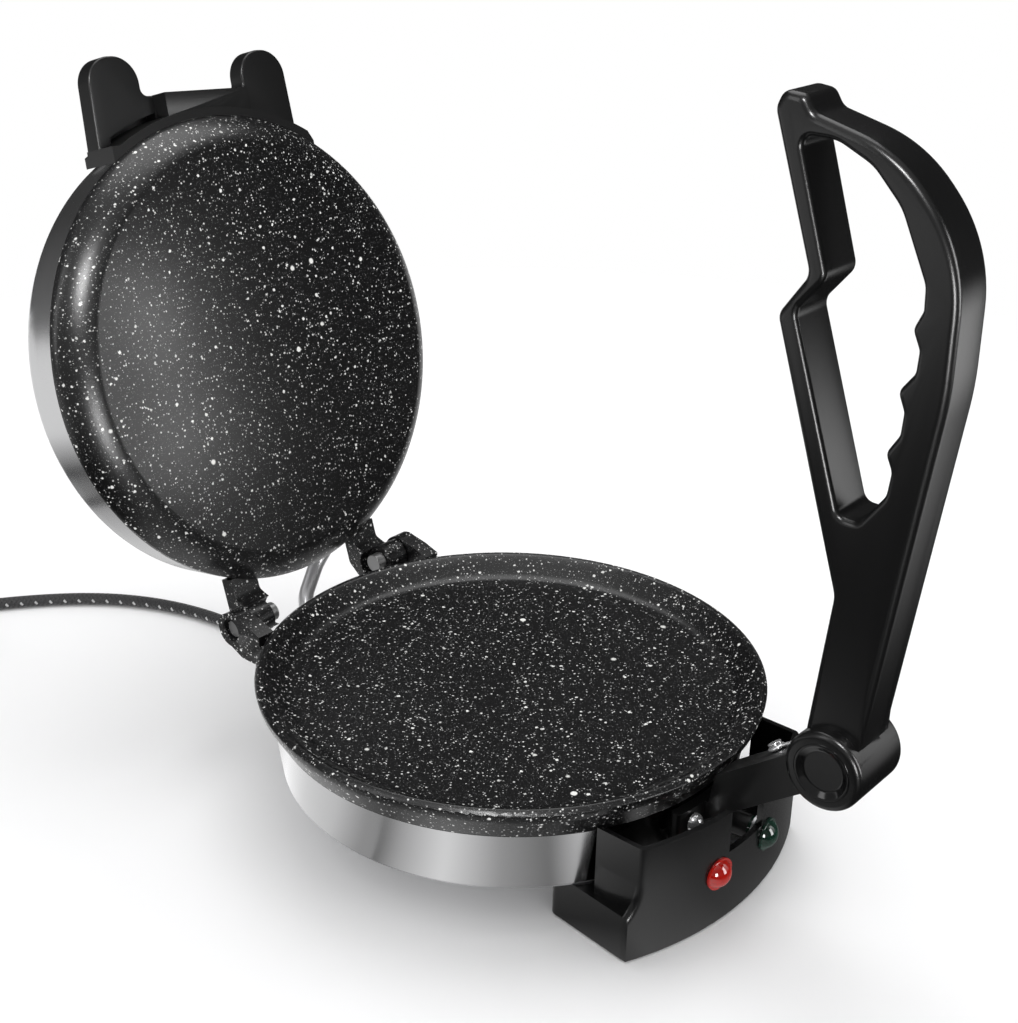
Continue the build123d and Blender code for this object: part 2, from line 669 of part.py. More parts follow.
def lever_outline():
    """Side view of the lever, (toward the lid, up) from the axle, without its hub."""
    corners = [(13.4, 0), (13.4, 12), (7.6, 78), (45.6, 188.5), (33.4, 206.5), (54.6, 266.5), (51.5, 274),
               (41.6, 273), (37.5, 266.8), (1.9, 258.2), (-28.6, 226), (-30.0, 172), (-12.8, 12), (-12.8, 0)]
    rounds = [0, 0, 14, 6, 7, 6, 5, 5, 6, 60, 62, 140, 0, 0]
    return closed_face(corners, rounds)


def grip_opening():
    """Hand opening: straight palm side with a step, and four finger hollows opposite."""
    corners = [(42.4, 258.4), (25.0, 206.8), (37.2, 191.6), (9.4, 112.9), (0.5, 112.9), (-9.6, 127.5),
               (-10.6, 138), (-7.2, 145), (-12.1, 153.5), (-12.5, 163), (-9.1, 170.5), (-15.1, 179),
               (-15.4, 188), (-11.8, 195.4), (-15.0, 203), (-14.4, 212.5), (-1.5, 238.5), (11.5, 251.5),
               (27, 258.4)]
    rounds = [4, 6, 6, 5, 5, 8, 6, 4.2, 5, 5, 4.2, 5, 5, 4.2, 4, 10, 24, 20, 16]
    return closed_face(corners, rounds)


def shank_hollow():
    """Inside of the shank, a wall's thickness in from its outline."""
    return closed_face([(8.6, 38), (4.9, 77), (12.4, 101), (-17.4, 101), (-11.0, 38)], [2, 6, 3, 3, 2])


edge_round = 3.4           # outer edges of the lever
opening_round = 2.5        # edges of the hand opening
hub_round = 2.8


def on_side(edge):
    """Whether an edge lies in one of the lever's two side faces."""
    return abs(abs(edge.center().X) - lever_half) < 0.01


def near_any(edge, spots):
    """Whether an edge's middle is at one of some points."""
    return any((edge.center() - spot).length < 0.05 for spot in spots)


def lever_whole():
    """Both lever mouldings as one form, before they are parted."""
    blade = side_slab(lever_outline() - grip_opening(), -lever_half, lever_half)
    opening = side_slab(grip_opening(), -lever_half, lever_half)
    rim_spots = [edge.center() for edge in opening.edges() if on_side(edge)]
    outer = [edge for edge in blade.edges() if on_side(edge) and edge.center().Z > hub_radius - 4
             and not near_any(edge, rim_spots)]
    blade = fillet(outer, edge_round)
    blade = fillet([edge for edge in blade.edges() if near_any(edge, rim_spots)], opening_round)
    hub = Rot(0, 90, 0) * Cylinder(hub_radius, 2 * hub_half)
    hub = fillet(hub.edges().filter_by(GeomType.CIRCLE), hub_round)
    whole = blade + hub
    whole -= side_slab(shank_hollow(), -lever_half + 3, lever_half - 3)
    # window that the bracket's tongue enters, open through the whole travel
    margin = math.degrees(math.asin(arm_half_height / (tongue_radius + 0.8))) + 1
    low_angle, high_angle = math.radians(-arm_rise - margin), math.radians(-arm_rise + lever_fold + margin)
    reach = tongue_reach + 0.8
    sector = make_face([Line((0, 0), (reach * math.cos(low_angle), reach * math.sin(low_angle))),
                        CenterArc((0, 0), reach, math.degrees(low_angle), math.degrees(high_angle - low_angle)),
                        Line((reach * math.cos(high_angle), reach * math.sin(high_angle)), (0, 0))])
    whole -= side_slab(sector + Circle(tongue_radius + 0.8), -cheek_x, cheek_x)
    whole -= rod((-30, 0, 0), (30, 0, 0), axle_radius + running_gap)
    for side in (-1, 1):
        recess = side_slab(Sketch() + Circle(cap_radius), 0, cap_seat + 10)
        whole -= Pos(hub_half - cap_seat, 0, 0) * recess if side > 0 else \
            mirror(Pos(hub_half - cap_seat, 0, 0) * recess, Plane.YZ)
    whole -= rod((-hub_half, 0, 0), (-hub_half + cap_seat + 0.6 + axle_head_depth, 0, 0), axle_head + 0.4)
    whole -= rod((hub_half, 0, 0), (hub_half - cap_seat - 4.9, 0, 0), 7.2)
    whole -= rod((spring_x, spring_ring, 24), (spring_x, spring_ring, 35.6), spring_wire + 0.3)
    for u, h in lever_screw_places():
        whole -= rod((-lever_half + 4, u, h), (lever_half - 3.0, u, h), 1.3)
        whole -= rod((lever_half - 3.0, u, h), (lever_half + 1, u, h), 2.9)
    return whole


def lever_screw_places():
    """(toward the lid, up) of the screws that hold the two lever mouldings together."""
    return [(46.5, 263.5), (-21.5, 222), (-22.0, 150), (6.0, 106), (-2.0, 32.5)]


def lever_halves():
    whole = Pos(0, hub_y, hub_z) * lever_whole()
    far_side = box_between((parting_x, hub_y - 80, hub_z - 40), (40, hub_y + 120, hub_z + 320))
    return only(whole - far_side), only(whole & far_side)


def lever_screws():
    screws = []
    for u, h in lever_screw_places():
        y, z = hub_y + u, hub_z + h
        shank = rod((-lever_half + 4.5, y, z), (lever_half - 3.0, y, z), 1.3)
        head = rod((lever_half - 3.0, y, z), (lever_half - 1.2, y, z), 2.7)
        screws.append(only(shank + head))
    return screws


def hub_cap(side):
    """Dished cap that closes one end of the hub: raised ring round a sunk middle."""
    outline = [(0, 0), (cap_radius - 0.05, 0), (cap_radius - 0.05, cap_seat), (cap_radius - 1.2, cap_seat),
               (cap_radius - 4.0, 1.0), (0, 1.0)]
    cap = turned(outline, [0, 0, 0.4, 0.6, 2.0, 0])
    placed = Pos(side * (hub_half - cap_seat), hub_y, hub_z) * Rot(0, side * 90, 0) * cap
    return placed


# ------------------------------------------------------------------ lid hinge

def hinge_pins():
    """Headed pins from the lugs' outer faces through the lid's legs."""
    pins = []
    for side in (-1, 1):
        shaft = rod((side * (lug_outer_x - 2.4), hinge_y, hinge_z), (side * (leg_inner_x - 5.5), hinge_y, hinge_z),
                    hinge_pin_radius)
        head = rod((side * (lug_outer_x - 2.4), hinge_y, hinge_z), (side * (lug_outer_x - 4), hinge_y, hinge_z), 4.6)
        pins.append(only(shaft + head))
    return pins


def hinge_nuts():
    """Sleeve nuts on the inner ends of the hinge pins."""
    nuts = []
    for side in (-1, 1):
        start = (side * (leg_inner_x - 0.3), hinge_y, hinge_z)
        end = (side * (leg_inner_x - 5.8), hinge_y, hinge_z)
        nuts.append(only(rod(start, end, 5.0) - rod(start, (side * (leg_inner_x - 5.5), hinge_y, hinge_z),
                                                   hinge_pin_radius)))
    return nuts


# ------------------------------------------------------------------ lid

lid_stud_ring = clamp_radius + 6.0
lid_stud_angles = (90, 210, 330)


def lid_posts(low_z, high_z, radius):
    face = Sketch() + [Pos(lid_stud_ring * math.cos(math.radians(a)), lid_stud_ring * math.sin(math.radians(a)))
                       * Circle(radius) for a in lid_stud_angles]
    return tall_slab(face, low_z, high_z)


def lid_back_z(radius):
    """Height of the closed cover's back at a distance from its middle."""
    shoulder = rim_plane_z + cover_depth
    return shoulder + cover_crown * (1 - (radius / cover_back_radius) ** 2)


def leg_face():
    """Side view of one leg of the closed lid, out from the plate's rim and down to the hinge axis."""
    top = rim_plane_z + leg_depth
    return closed_face([(hinge_y - leg_root, rim_plane_z), (hinge_y - leg_root, top),
                        (hinge_y - 1, top), (hinge_y + 9, top - 7),
                        (hinge_y + leg_eye_radius, hinge_z), (hinge_y - leg_eye_radius + 0.8, hinge_z + 3),
                        (hinge_y - 11.5, rim_plane_z)],
                       [0, 0, 5, 3, 0, 0, 3])


def upper_plate():
    """Cast pressing plate with its raised disc and the two hinge legs, closed position."""
    back = press_gap + lid_plate_thickness
    disc = [Line((0, press_gap), (press_radius, press_gap)),
            ThreePointArc((press_radius, press_gap), (press_radius + 9.5, press_gap + 5.7),
                          (lid_radius, rim_plane_z)),
            Line((lid_radius, rim_plane_z), (lid_radius, rim_plane_z + 2.4)),
            Line((lid_radius, rim_plane_z + 2.4), (lid_radius - 5, rim_plane_z + 2.4)),
            Line((lid_radius - 5, rim_plane_z + 2.4), (press_radius - 2, back)),
            Line((press_radius - 2, back), (0, back)),
            Line((0, back), (0, press_gap))]
    plate = revolve(Plane.XZ * make_face(disc), Axis.Z)
    for side in (-1, 1):
        leg = side_slab(leg_face(), strap_inner_x, leg_face_x)
        leg -= rod((strap_inner_x - 1, hinge_y, hinge_z), (leg_inner_x, hinge_y, hinge_z), leg_eye_radius)
        leg += rod((leg_inner_x, hinge_y, hinge_z), (leg_outer_x, hinge_y, hinge_z), leg_eye_radius)
        leg = leg - Pos(0, 0, rim_plane_z + 10) * Cylinder(lid_radius - 9, 60)
        leg = leg - rod((0, hinge_y, hinge_z), (100, hinge_y, hinge_z), hinge_pin_radius + running_gap)
        plate += leg if side > 0 else mirror(leg, Plane.YZ)
    plate += clamp_posts(back - 0.5, back + 2 * heater_tube, clamp_boss)
    plate -= clamp_posts(back - 1, back + 8, clamp_screw)
    plate += lid_posts(back - 0.5, lid_back_z(lid_stud_ring) - sheet - 1.0, stud_radius)
    plate -= lid_posts(back + 6, lid_back_z(lid_stud_ring), stud_bore)
    plate -= rod(tuple(gland_point(0)), tuple(gland_point(gland_length + gland_gap)), gland_radius + gland_gap)
    return only(plate)


def upper_cover():
    """Steel pan over the lid: side wall from the rim, rounded shoulder, crowned back; closed position."""
    low = rim_plane_z + 2.4
    shoulder = rim_plane_z + cover_depth
    crown = shoulder + cover_crown
    inner = cover_corner - sheet
    outline = [(lid_radius, low), (cover_back_radius, shoulder), (0, crown), (0, crown - sheet),
               (cover_back_radius - sheet, shoulder - sheet), (lid_radius - sheet, low)]
    cover = turned(outline, [0, cover_corner, 0, 0, inner, 0])
    for side in (-1, 1):
        low_x, high_x = sorted((side * (strap_inner_x - 0.4), side * (leg_outer_x + 0.4)))
        cover -= box_between((low_x, hinge_y - leg_root - 12, low - 1),
                             (high_x, hinge_y - 4, rim_plane_z + leg_depth + 0.4))
    cover -= lid_posts(shoulder - 2, crown + 2, 2.2)
    for side in (-1, 1):
        cover -= handle_screw_rod(side, 1.8).rotate(Axis.Z, handle_turn)
    cover -= rod(tuple(gland_point(-gland_length)), tuple(gland_point(gland_length)), gland_radius + gland_play)
    return only(cover)


def cover_screws():
    """Three screws through the cover's back into the plate's posts, closed position."""
    screws = []
    seat = lid_back_z(lid_stud_ring) + 0.25
    for a in lid_stud_angles:
        x, y = lid_stud_ring * math.cos(math.radians(a)), lid_stud_ring * math.sin(math.radians(a))
        screws.append(Pos(x, y, seat) * Rot(180, 0, 0) * pan_screw((0, 0, 0), 9, shank_radius=stud_bore))
    return screws


def upper_insulation():
    """Fibre blanket over the clamp plate, with holes for the posts and the element's ends."""
    low = press_gap + lid_plate_thickness + 2 * heater_tube + clamp_sheet
    face = Circle(clamp_radius - 8) - Circle(clamp_ring + 4)
    face -= Pos(0, -heater_ring) * Rectangle(30, 24)
    return only(tall_slab(face, low, low + 5))


# ------------------------------------------------------------------ lid handle

handle_turn = 4.5          # the bracket sits this far round the rim from the centre line
handle_inner = lid_radius + 0.1
handle_strip = 4.6         # thickness of the strip that follows the rim
handle_depth = 25.0
ear_front = 12.0           # ear face behind the rim plane
ear_back = 22.0
ear_reach = 34.2           # ear tips, out from the lid's rim
ear_tip_y = -lid_radius - ear_reach
ear_outer_x = 62.8
ear_inner_x = 33.2
bar_reach = 13.7           # front of the bar, out from the lid's rim
bar_y = -lid_radius - bar_reach
handle_wrap = 25.8         # how far back along the rim the strip runs
handle_end_y = -lid_radius + handle_wrap
bar_half = 27.0
bar_lift = 1.5             # underside of the bar, back from the rim plane, clear of the lever's bracket
handle_screw_angle = 10.0  # each side of the bracket's middle


def lid_handle():
    """Moulded bracket on the lid's front rim: two rounded ears joined by a bar; closed position."""
    base = rim_plane_z
    rim_circle = Circle(handle_inner)
    plan = closed_face([(-ear_outer_x - 3, handle_end_y + 2), (-ear_outer_x, ear_tip_y), (-ear_inner_x, ear_tip_y),
                        (-ear_inner_x, bar_y), (ear_inner_x, bar_y), (ear_inner_x, ear_tip_y),
                        (ear_outer_x, ear_tip_y), (ear_outer_x + 3, handle_end_y + 2)],
                       [0, 14, 14, 4, 4, 14, 14, 0])
    slab = tall_slab(plan - rim_circle, base + ear_front, base + ear_back)
    ear_edges = [e for e in slab.edges() if e.center().Y < bar_y + 1
                 and abs(e.center().Z - base - ear_front) < 0.01]
    slab = fillet(ear_edges, 1.2)
    front = Pos(0, handle_end_y - 42) * Rectangle(2 * (ear_outer_x + 2.8), 84)
    strip = (Circle(handle_inner + handle_strip) - rim_circle) & front
    body = slab + tall_slab(strip, base, base + handle_depth)
    block_back_y = handle_end_y - 12
    block = Pos(0, (bar_y + block_back_y) / 2) * Rectangle(2 * bar_half, block_back_y - bar_y)
    body += tall_slab(block - rim_circle, base + bar_lift, base + ear_back)
    foot = Pos(-ear_outer_x + 1.2, handle_end_y - 7.5) * Rectangle(8, 15)
    body += tall_slab(foot - rim_circle, base, base + ear_back)
    taper = closed_face([(ear_outer_x - 2, -handle_inner), (ear_outer_x - 2, -lid_radius + 9),
                         (ear_outer_x + 8, handle_end_y), (ear_outer_x + 8, -handle_inner)])
    body -= tall_slab(taper, base - 1, base + ear_front)
    for side in (-1, 1):
        pocket = (Circle(handle_inner + handle_strip + 3.2) - Circle(handle_inner + handle_strip)) \
            & (Pos(side * (ear_inner_x + 9.3), -lid_radius - 6.2) * Rectangle(30, 60))
        body -= tall_slab(pocket, base + ear_front - 1, base + ear_back - 2)
    for side in (-1, 1):
        body -= handle_screw_rod(side, 1.5)
    return only(body).rotate(Axis.Z, handle_turn)


def handle_screw_rod(side, radius, start=None, end=None):
    """Bar on the line of one handle screw, radial through the cover's side wall."""
    angle = math.radians(-90 + side * handle_screw_angle)
    inner = lid_radius - 4 if start is None else start
    outer = lid_radius + 9 if end is None else end
    z = rim_plane_z + 16
    return rod((inner * math.cos(angle), inner * math.sin(angle), z),
               (outer * math.cos(angle), outer * math.sin(angle), z), radius)


def handle_screws():
    """Two screws from inside the cover into the handle bracket; closed position."""
    screws = []
    wall = cover_inner_radius(rim_plane_z + 16)
    for side in (-1, 1):
        screw = handle_screw_rod(side, 1.5, wall - 0.4, lid_radius + 8)
        screw += handle_screw_rod(side, 3.4, wall - 2.6, wall - 0.4)
        screws.append(only(screw).rotate(Axis.Z, handle_turn))
    return screws


def cover_inner_radius(z):
    """Inner radius of the cover's side wall at a height."""
    low = rim_plane_z + 2.4
    share = (z - low) / (rim_plane_z + cover_depth - low)
    return lid_radius - sheet + share * (cover_back_radius - lid_radius)


# ------------------------------------------------------------------ conduit between the base and the lid

conduit_radius = 4.2
conduit_base_x = -4.0
conduit_base_y = skirt_radius + 3.5
conduit_base_z = -22.0
gland_x = 29.0
gland_depth = 15.27        # height of the lid's ferrule above the closed rim plane
gland_inset = 2.2          # its outer face, in from the lid's rim
gland_length = 7.5
gland_radius = 4.9
gland_play = 0.1           # round the ferrule in the cover's hole
gland_gap = 0.3            # between the ferrule and the hinge leg beside it
gland_slant = (10.0, -8.336, -1.801)   # the way into the closed lid
gland_lead = 13.14         # straight stretch of conduit before it


def gland_point(distance):
    """Point on the ferrule's line, that far into the lid from its outer face; closed position."""
    face = Vector(gland_x, lid_radius - gland_inset, rim_plane_z + gland_depth)
    return face + Vector(*gland_slant).normalized() * distance


def conduit():
    """Polished flexible conduit that carries the lid's leads, open position."""
    lead, end = [laid_back(Vertex(*gland_point(distance))).center() for distance in (-gland_lead, 0)]
    route = [(conduit_base_x, conduit_base_y, conduit_base_z), (conduit_base_x, hinge_y + 6, conduit_base_z),
             (1, hinge_y + 18, hinge_z - 14.7), tuple(lead), tuple(end)]
    return only(tube_along(route, [14, 20, 30], conduit_radius))


def conduit_base_gland():
    """Ferrule in the band where the conduit leaves the base."""
    def ring(inner_end, outer_end, radius):
        return rod((conduit_base_x, skirt_radius + inner_end, conduit_base_z),
                   (conduit_base_x, skirt_radius + outer_end, conduit_base_z), radius)
    return only(ring(-7, 3.5, 5.9) + ring(-0.8, 1.7, 7.8))


def conduit_lid_gland():
    """Ferrule in the cover's side where the conduit enters the lid, closed position."""
    return rod(tuple(gland_point(0)), tuple(gland_point(gland_length)), gland_radius)


# ------------------------------------------------------------------ cord

floor_z = table_z + cord_diameter / 2 + 0.1
cord_route = [(cord_x, rear_foot_back_y + relief_length, cord_exit_z), (12, 168, cord_exit_z), (14, 194, floor_z),
              (15, 224, floor_z), (11, 258, floor_z), (-1, 292, floor_z), (-22, 323, floor_z), (-55, 352, floor_z)]
coil_lead = 28.0           # straight stretch of cord that belongs to the coil, at each of its ends


def cord_end():
    """Points where the cord meets the coil's lead and where that lead touches the coil's outer turn."""
    last = Vector(*cord_route[-1])
    ring = coil_outer - cord_diameter / 2
    gap = Vector(coil_x, coil_y, floor_z) - last
    turn = math.degrees(math.asin(ring / gap.length))
    heading = gap.normalized().rotate(Axis.Z, -turn)
    touch = last + heading * math.sqrt(gap.length ** 2 - ring ** 2)
    return touch - heading * coil_lead, touch


def arc_radii(points):
    """For each corner, 0.45 of the shorter run over the tangent of half the turn."""
    radii = []
    for a, b, c in zip(points, points[1:], points[2:]):
        before, after = Vector(*b) - Vector(*a), Vector(*c) - Vector(*b)
        turn = math.radians(before.get_angle(after))
        radii.append(0.45 * min(before.length, after.length) / math.tan(turn / 2))
    return radii


def cord():
    points = cord_route + [tuple(cord_end()[0])]
    radii = arc_radii(points)
    print("cord arc radii:", [round(r, 1) for r in radii])
    solid = only(tube_along(points, radii, cord_diameter / 2))
    print("cord tube length:", round(solid.volume / (math.pi * cord_diameter ** 2 / 4), 1))
    return solid


def cord_coil():
    """Outer shape of the put-away turns, a flat ring on the worktop with a straight lead at each end."""
    ring = tall_slab(Circle(coil_outer) - Circle(coil_inner), table_z, table_z + 2 * cord_diameter)
    ring = Pos(coil_x, coil_y, 0) * fillet(ring.edges().filter_by(GeomType.CIRCLE), 3.0)
    start, touch = cord_end()
    ring += rod(tuple(start), tuple(touch), cord_diameter / 2)
    ring += rod((plug_x, coil_y, plug_z), (plug_x, coil_y - coil_lead, plug_z), cord_diameter / 2)
    return only(ring)


def strain_relief():
    """Tapered sleeve where the cord leaves the rear foot."""
    start = (cord_x, rear_foot_back_y, cord_exit_z)
    taper = turned([(0, 0), (5.6, 0), (5.2, 8), (4.3, relief_length), (0, relief_length)], [0, 0, 3, 0.4, 0])
    collar = Cylinder(7.4, 2.2)
    inside = Pos(0, 0, -5) * Cylinder(5.4, 10)
    return only(Plane(start, z_dir=(0, 1, 0)) * (taper + Pos(0, 0, 1.1) * collar + inside))


plug_x = coil_x - coil_outer + cord_diameter / 2
plug_y = coil_y - coil_lead
plug_z = table_z + 12.0
sleeve_length = 20.0
plug_length = 24.0


def plug_body():
    """Moulded three-pin plug lying beside the coil, its sleeve round the end of the cord."""
    back = plug_y - sleeve_length
    section = Plane((plug_x, back, plug_z), x_dir=(1, 0, 0), z_dir=(0, -1, 0)) * RectangleRounded(34, 23.8, 7)
    body = extrude(section, plug_length)
    sleeve = turned([(0, -1), (9, -1), (6.5, 8), (4.6, sleeve_length), (0, sleeve_length)], [0, 0, 5, 0.6, 0])
    return only(body + Plane((plug_x, back, plug_z), z_dir=(0, 1, 0)) * sleeve)


def plug_pins():
    """Two line pins and a longer, thicker earth pin."""
    front = plug_y - sleeve_length - plug_length
    places = [(-9.5, -5, 2.5, 15), (9.5, -5, 2.5, 15), (0, 6, 3.5, 21)]
    return [rod((plug_x + dx, front, plug_z + dz), (plug_x + dx, front - length, plug_z + dz), radius)
            for dx, dz, radius, length in places]


# ------------------------------------------------------------------ write every node

near_half, far_half = lever_halves()
lid_seat = press_gap + lid_plate_thickness

save("lower_plate", lower_plate())
save("lower_heater", heater(-plate_thickness, -1))
save("lower_clamp_plate", clamp_plate(-plate_thickness, -1))
save("lower_clamp_screws", *clamp_screws(-plate_thickness, -1))
save("lower_shell", lower_shell())
save("bottom_cover", bottom_cover())
save("bottom_screws", *bottom_screws())
save("foot_screws", *foot_screws())
save("thermostat", thermostat())
save("thermostat_bracket", thermostat_bracket())
save("thermal_fuse", thermal_fuse())
save("terminal_block", terminal_block())
save("front_housing", front_housing())
save("red_lamp_lens", lamp_lens(-1))
save("green_lamp_lens", lamp_lens(1))
save("lamp_holders", lamp_body(-1), lamp_body(1))
save("lamp_clips", lamp_clip(-1), lamp_clip(1))
save("rear_foot", rear_foot())
save("foot_pads", *foot_pads())
save("lever_bracket", lever_bracket())
save("bracket_screws", *bracket_screws())
save("lever_axle", lever_axle())
save("axle_nut", axle_nut())
save("pivot_sleeve", pivot_sleeve())
save("return_spring", return_spring())
save("spring_screw", spring_screw())
save("hinge_pins", *hinge_pins())
save("hinge_nuts", *hinge_nuts())
save("conduit_base_gland", conduit_base_gland())
save("conduit", conduit())
save("strain_relief", strain_relief())
save("cord", cord())
save("cord_coil", cord_coil())
save("plug_body", plug_body())
save("plug_pins", *plug_pins())

save("upper_plate", laid_back(upper_plate()))
save("upper_cover", laid_back(upper_cover()))
save("cover_screws", *[laid_back(s) for s in cover_screws()])
save("upper_heater", laid_back(heater(lid_seat, 1)))
save("upper_clamp_plate", laid_back(clamp_plate(lid_seat, 1)))
save("upper_clamp_screws", *[laid_back(s) for s in clamp_screws(lid_seat, 1)])
save("upper_insulation", laid_back(upper_insulation()))
save("lid_handle", laid_back(lid_handle()))
save("handle_screws", *[laid_back(s) for s in handle_screws()])
save("conduit_lid_gland", laid_back(conduit_lid_gland()))

save("lever_near_half", near_half)
save("lever_far_half", far_half)
save("lever_screws", *lever_screws())
save("near_hub_cap", hub_cap(-1))
save("far_hub_cap", hub_cap(1))
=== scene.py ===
"""Looks of the electric roti maker: finishes, lamp lenses, cord, stage, lights and camera."""
import math

import bmesh
import bpy
from mathutils import Matrix, Quaternion, Vector


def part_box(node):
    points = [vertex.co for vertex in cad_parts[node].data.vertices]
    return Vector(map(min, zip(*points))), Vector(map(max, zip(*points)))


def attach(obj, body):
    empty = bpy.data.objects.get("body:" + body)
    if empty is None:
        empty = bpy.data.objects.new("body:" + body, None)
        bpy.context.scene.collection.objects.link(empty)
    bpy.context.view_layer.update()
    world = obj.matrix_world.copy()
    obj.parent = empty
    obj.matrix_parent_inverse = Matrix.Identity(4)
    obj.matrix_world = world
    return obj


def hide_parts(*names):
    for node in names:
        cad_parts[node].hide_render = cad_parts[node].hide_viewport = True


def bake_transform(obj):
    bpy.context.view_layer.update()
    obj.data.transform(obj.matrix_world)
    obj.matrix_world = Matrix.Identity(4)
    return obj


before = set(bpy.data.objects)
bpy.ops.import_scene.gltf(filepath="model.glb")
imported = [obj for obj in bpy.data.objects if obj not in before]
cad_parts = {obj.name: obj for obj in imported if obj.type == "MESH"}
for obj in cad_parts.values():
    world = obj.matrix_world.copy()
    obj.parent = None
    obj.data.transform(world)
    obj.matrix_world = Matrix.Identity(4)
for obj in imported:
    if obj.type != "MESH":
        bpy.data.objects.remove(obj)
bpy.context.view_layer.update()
MM = 0.001
FLOOR_LEVEL = -0.064       # of the worktop, under the feet


# ------------------------------------------------------------------ shader helpers

# a Mix node's sockets for colours, which share their names with its sockets for numbers
MIX_FACTOR = 0
MIX_FIRST = 6
MIX_SECOND = 7
MIX_RESULT = 2


def node_tree(name, inputs, outputs):
    """Empty shader node group with its named sockets."""
    group = bpy.data.node_groups.new(name, "ShaderNodeTree")
    for label, default in inputs:
        socket = group.interface.new_socket(label, in_out="INPUT", socket_type="NodeSocketFloat")
        socket.default_value = default
    for label in outputs:
        group.interface.new_socket(label, in_out="OUTPUT", socket_type="NodeSocketFloat")
    return group, group.nodes.new("NodeGroupInput"), group.nodes.new("NodeGroupOutput")


def add(tree, kind, values=None, links=None, **settings):
    """Add a node to a tree: settings on the node, values on its inputs, links into its inputs."""
    node = tree.nodes.new(kind)
    for key, value in settings.items():
        setattr(node, key, value)
    for key, value in (values or {}).items():
        node.inputs[key].default_value = value
    for key, source in (links or {}).items():
        tree.links.new(source, node.inputs[key])
    return node


def math_node(tree, operation, first, second=None, third=None, clamp=False):
    """Math node with sockets or plain numbers on its inputs; returns its output."""
    node = tree.nodes.new("ShaderNodeMath")
    node.operation = operation
    node.use_clamp = clamp
    for index, value in enumerate((first, second, third)):
        if value is None:
            continue
        if isinstance(value, (int, float)):
            node.inputs[index].default_value = value
        else:
            tree.links.new(value, node.inputs[index])
    return node.outputs[0]


def mix_colour(tree, factor, first, second):
    """Mix two colours; each is a socket or an RGBA tuple."""
    node = tree.nodes.new("ShaderNodeMix")
    node.data_type = "RGBA"
    for index, value in ((MIX_FACTOR, factor), (MIX_FIRST, first), (MIX_SECOND, second)):
        if isinstance(value, tuple):
            node.inputs[index].default_value = value
        else:
            tree.links.new(value, node.inputs[index])
    return node.outputs[MIX_RESULT]


def ramp(tree, factor, low, high):
    """Straight rise from 0 at low to 1 at high."""
    node = add(tree, "ShaderNodeMapRange", {"From Min": low, "From Max": high}, {"Value": factor},
               clamp=True)
    return node.outputs[0]


def object_place(tree):
    """Object coordinates."""
    return add(tree, "ShaderNodeTexCoord").outputs["Object"]


def split(tree, place):
    """A place's three coordinates."""
    return add(tree, "ShaderNodeSeparateXYZ", None, {0: place}).outputs


def noise_at(tree, place, scale, detail=2.0):
    """Noise node read at a place."""
    return add(tree, "ShaderNodeTexNoise", {"Scale": scale, "Detail": detail}, {"Vector": place})


# ------------------------------------------------------------------ shader groups

NOISE_MIDDLE = 0.5
RAGGED_WAVES = 3.2         # waves of the noise that makes a speck ragged, in one cell
SMALLEST_SPECK = 0.25      # of the largest
SPECK_EDGE = 0.4           # of a speck's radius, over which it fades out
DIMMEST_SPECK = 0.4        # of the brightest

SLOW_WAVES = 18.0          # waves in a metre, along a moulded skin
STREAK_WAVES = (18.0, 18.0, 2600.0)
SMUDGE_WAVES = 14.0

CROSSINGS = 2.0            # a strand goes over one and under one
WHITE_EVERY = 3.0          # one strand in three is white
FLECK_HEIGHTS = (0.35, 0.75)


def specks_group():
    """One size of speck: irregular dots, a share of the cells holding one, each of its own size."""
    group, source, sink = node_tree(
        "specks", [("Cell", 0.005), ("Largest", 0.3), ("Share", 0.5), ("Raggedness", 0.3)], ["Mask"])
    place = object_place(group)
    scale = math_node(group, "DIVIDE", 1.0, source.outputs["Cell"])
    waves = math_node(group, "MULTIPLY", scale, RAGGED_WAVES)
    noise = add(group, "ShaderNodeTexNoise", {"Detail": 2.0}, {"Vector": place, "Scale": waves})
    centred = add(group, "ShaderNodeVectorMath", {1: (NOISE_MIDDLE,) * 3}, {0: noise.outputs["Color"]},
                  operation="SUBTRACT")
    amount = math_node(group, "MULTIPLY", source.outputs["Raggedness"], source.outputs["Cell"])
    shift = add(group, "ShaderNodeVectorMath", None, {0: centred.outputs[0], "Scale": amount},
                operation="SCALE")
    moved = add(group, "ShaderNodeVectorMath", None, {0: place, 1: shift.outputs[0]}, operation="ADD")
    cells = add(group, "ShaderNodeTexVoronoi", None, {"Vector": moved.outputs[0], "Scale": scale})
    own = add(group, "ShaderNodeSeparateColor", None, {"Color": cells.outputs["Color"]}).outputs
    held = math_node(group, "LESS_THAN", own["Red"], source.outputs["Share"])
    size = math_node(group, "MULTIPLY", own["Green"], own["Green"])
    size = math_node(group, "MULTIPLY_ADD", size, 1 - SMALLEST_SPECK, SMALLEST_SPECK)
    size = math_node(group, "MULTIPLY", size, source.outputs["Largest"])
    inside = math_node(group, "SUBTRACT", size, cells.outputs["Distance"])
    fade = math_node(group, "MULTIPLY", size, SPECK_EDGE)
    edge = math_node(group, "DIVIDE", inside, fade, clamp=True)
    bright = math_node(group, "MULTIPLY_ADD", own["Blue"], 1 - DIMMEST_SPECK, DIMMEST_SPECK)
    mask = math_node(group, "MULTIPLY", math_node(group, "MULTIPLY", edge, held), bright)
    group.links.new(mask, sink.inputs["Mask"])
    return group


def varied(group, source, noise):
    """The group's roughness, spread about its middle by a noise."""
    centred = math_node(group, "SUBTRACT", noise.outputs[0], NOISE_MIDDLE)
    spread = math_node(group, "MULTIPLY", centred, source.outputs["Spread"])
    return math_node(group, "ADD", spread, source.outputs["Roughness"])


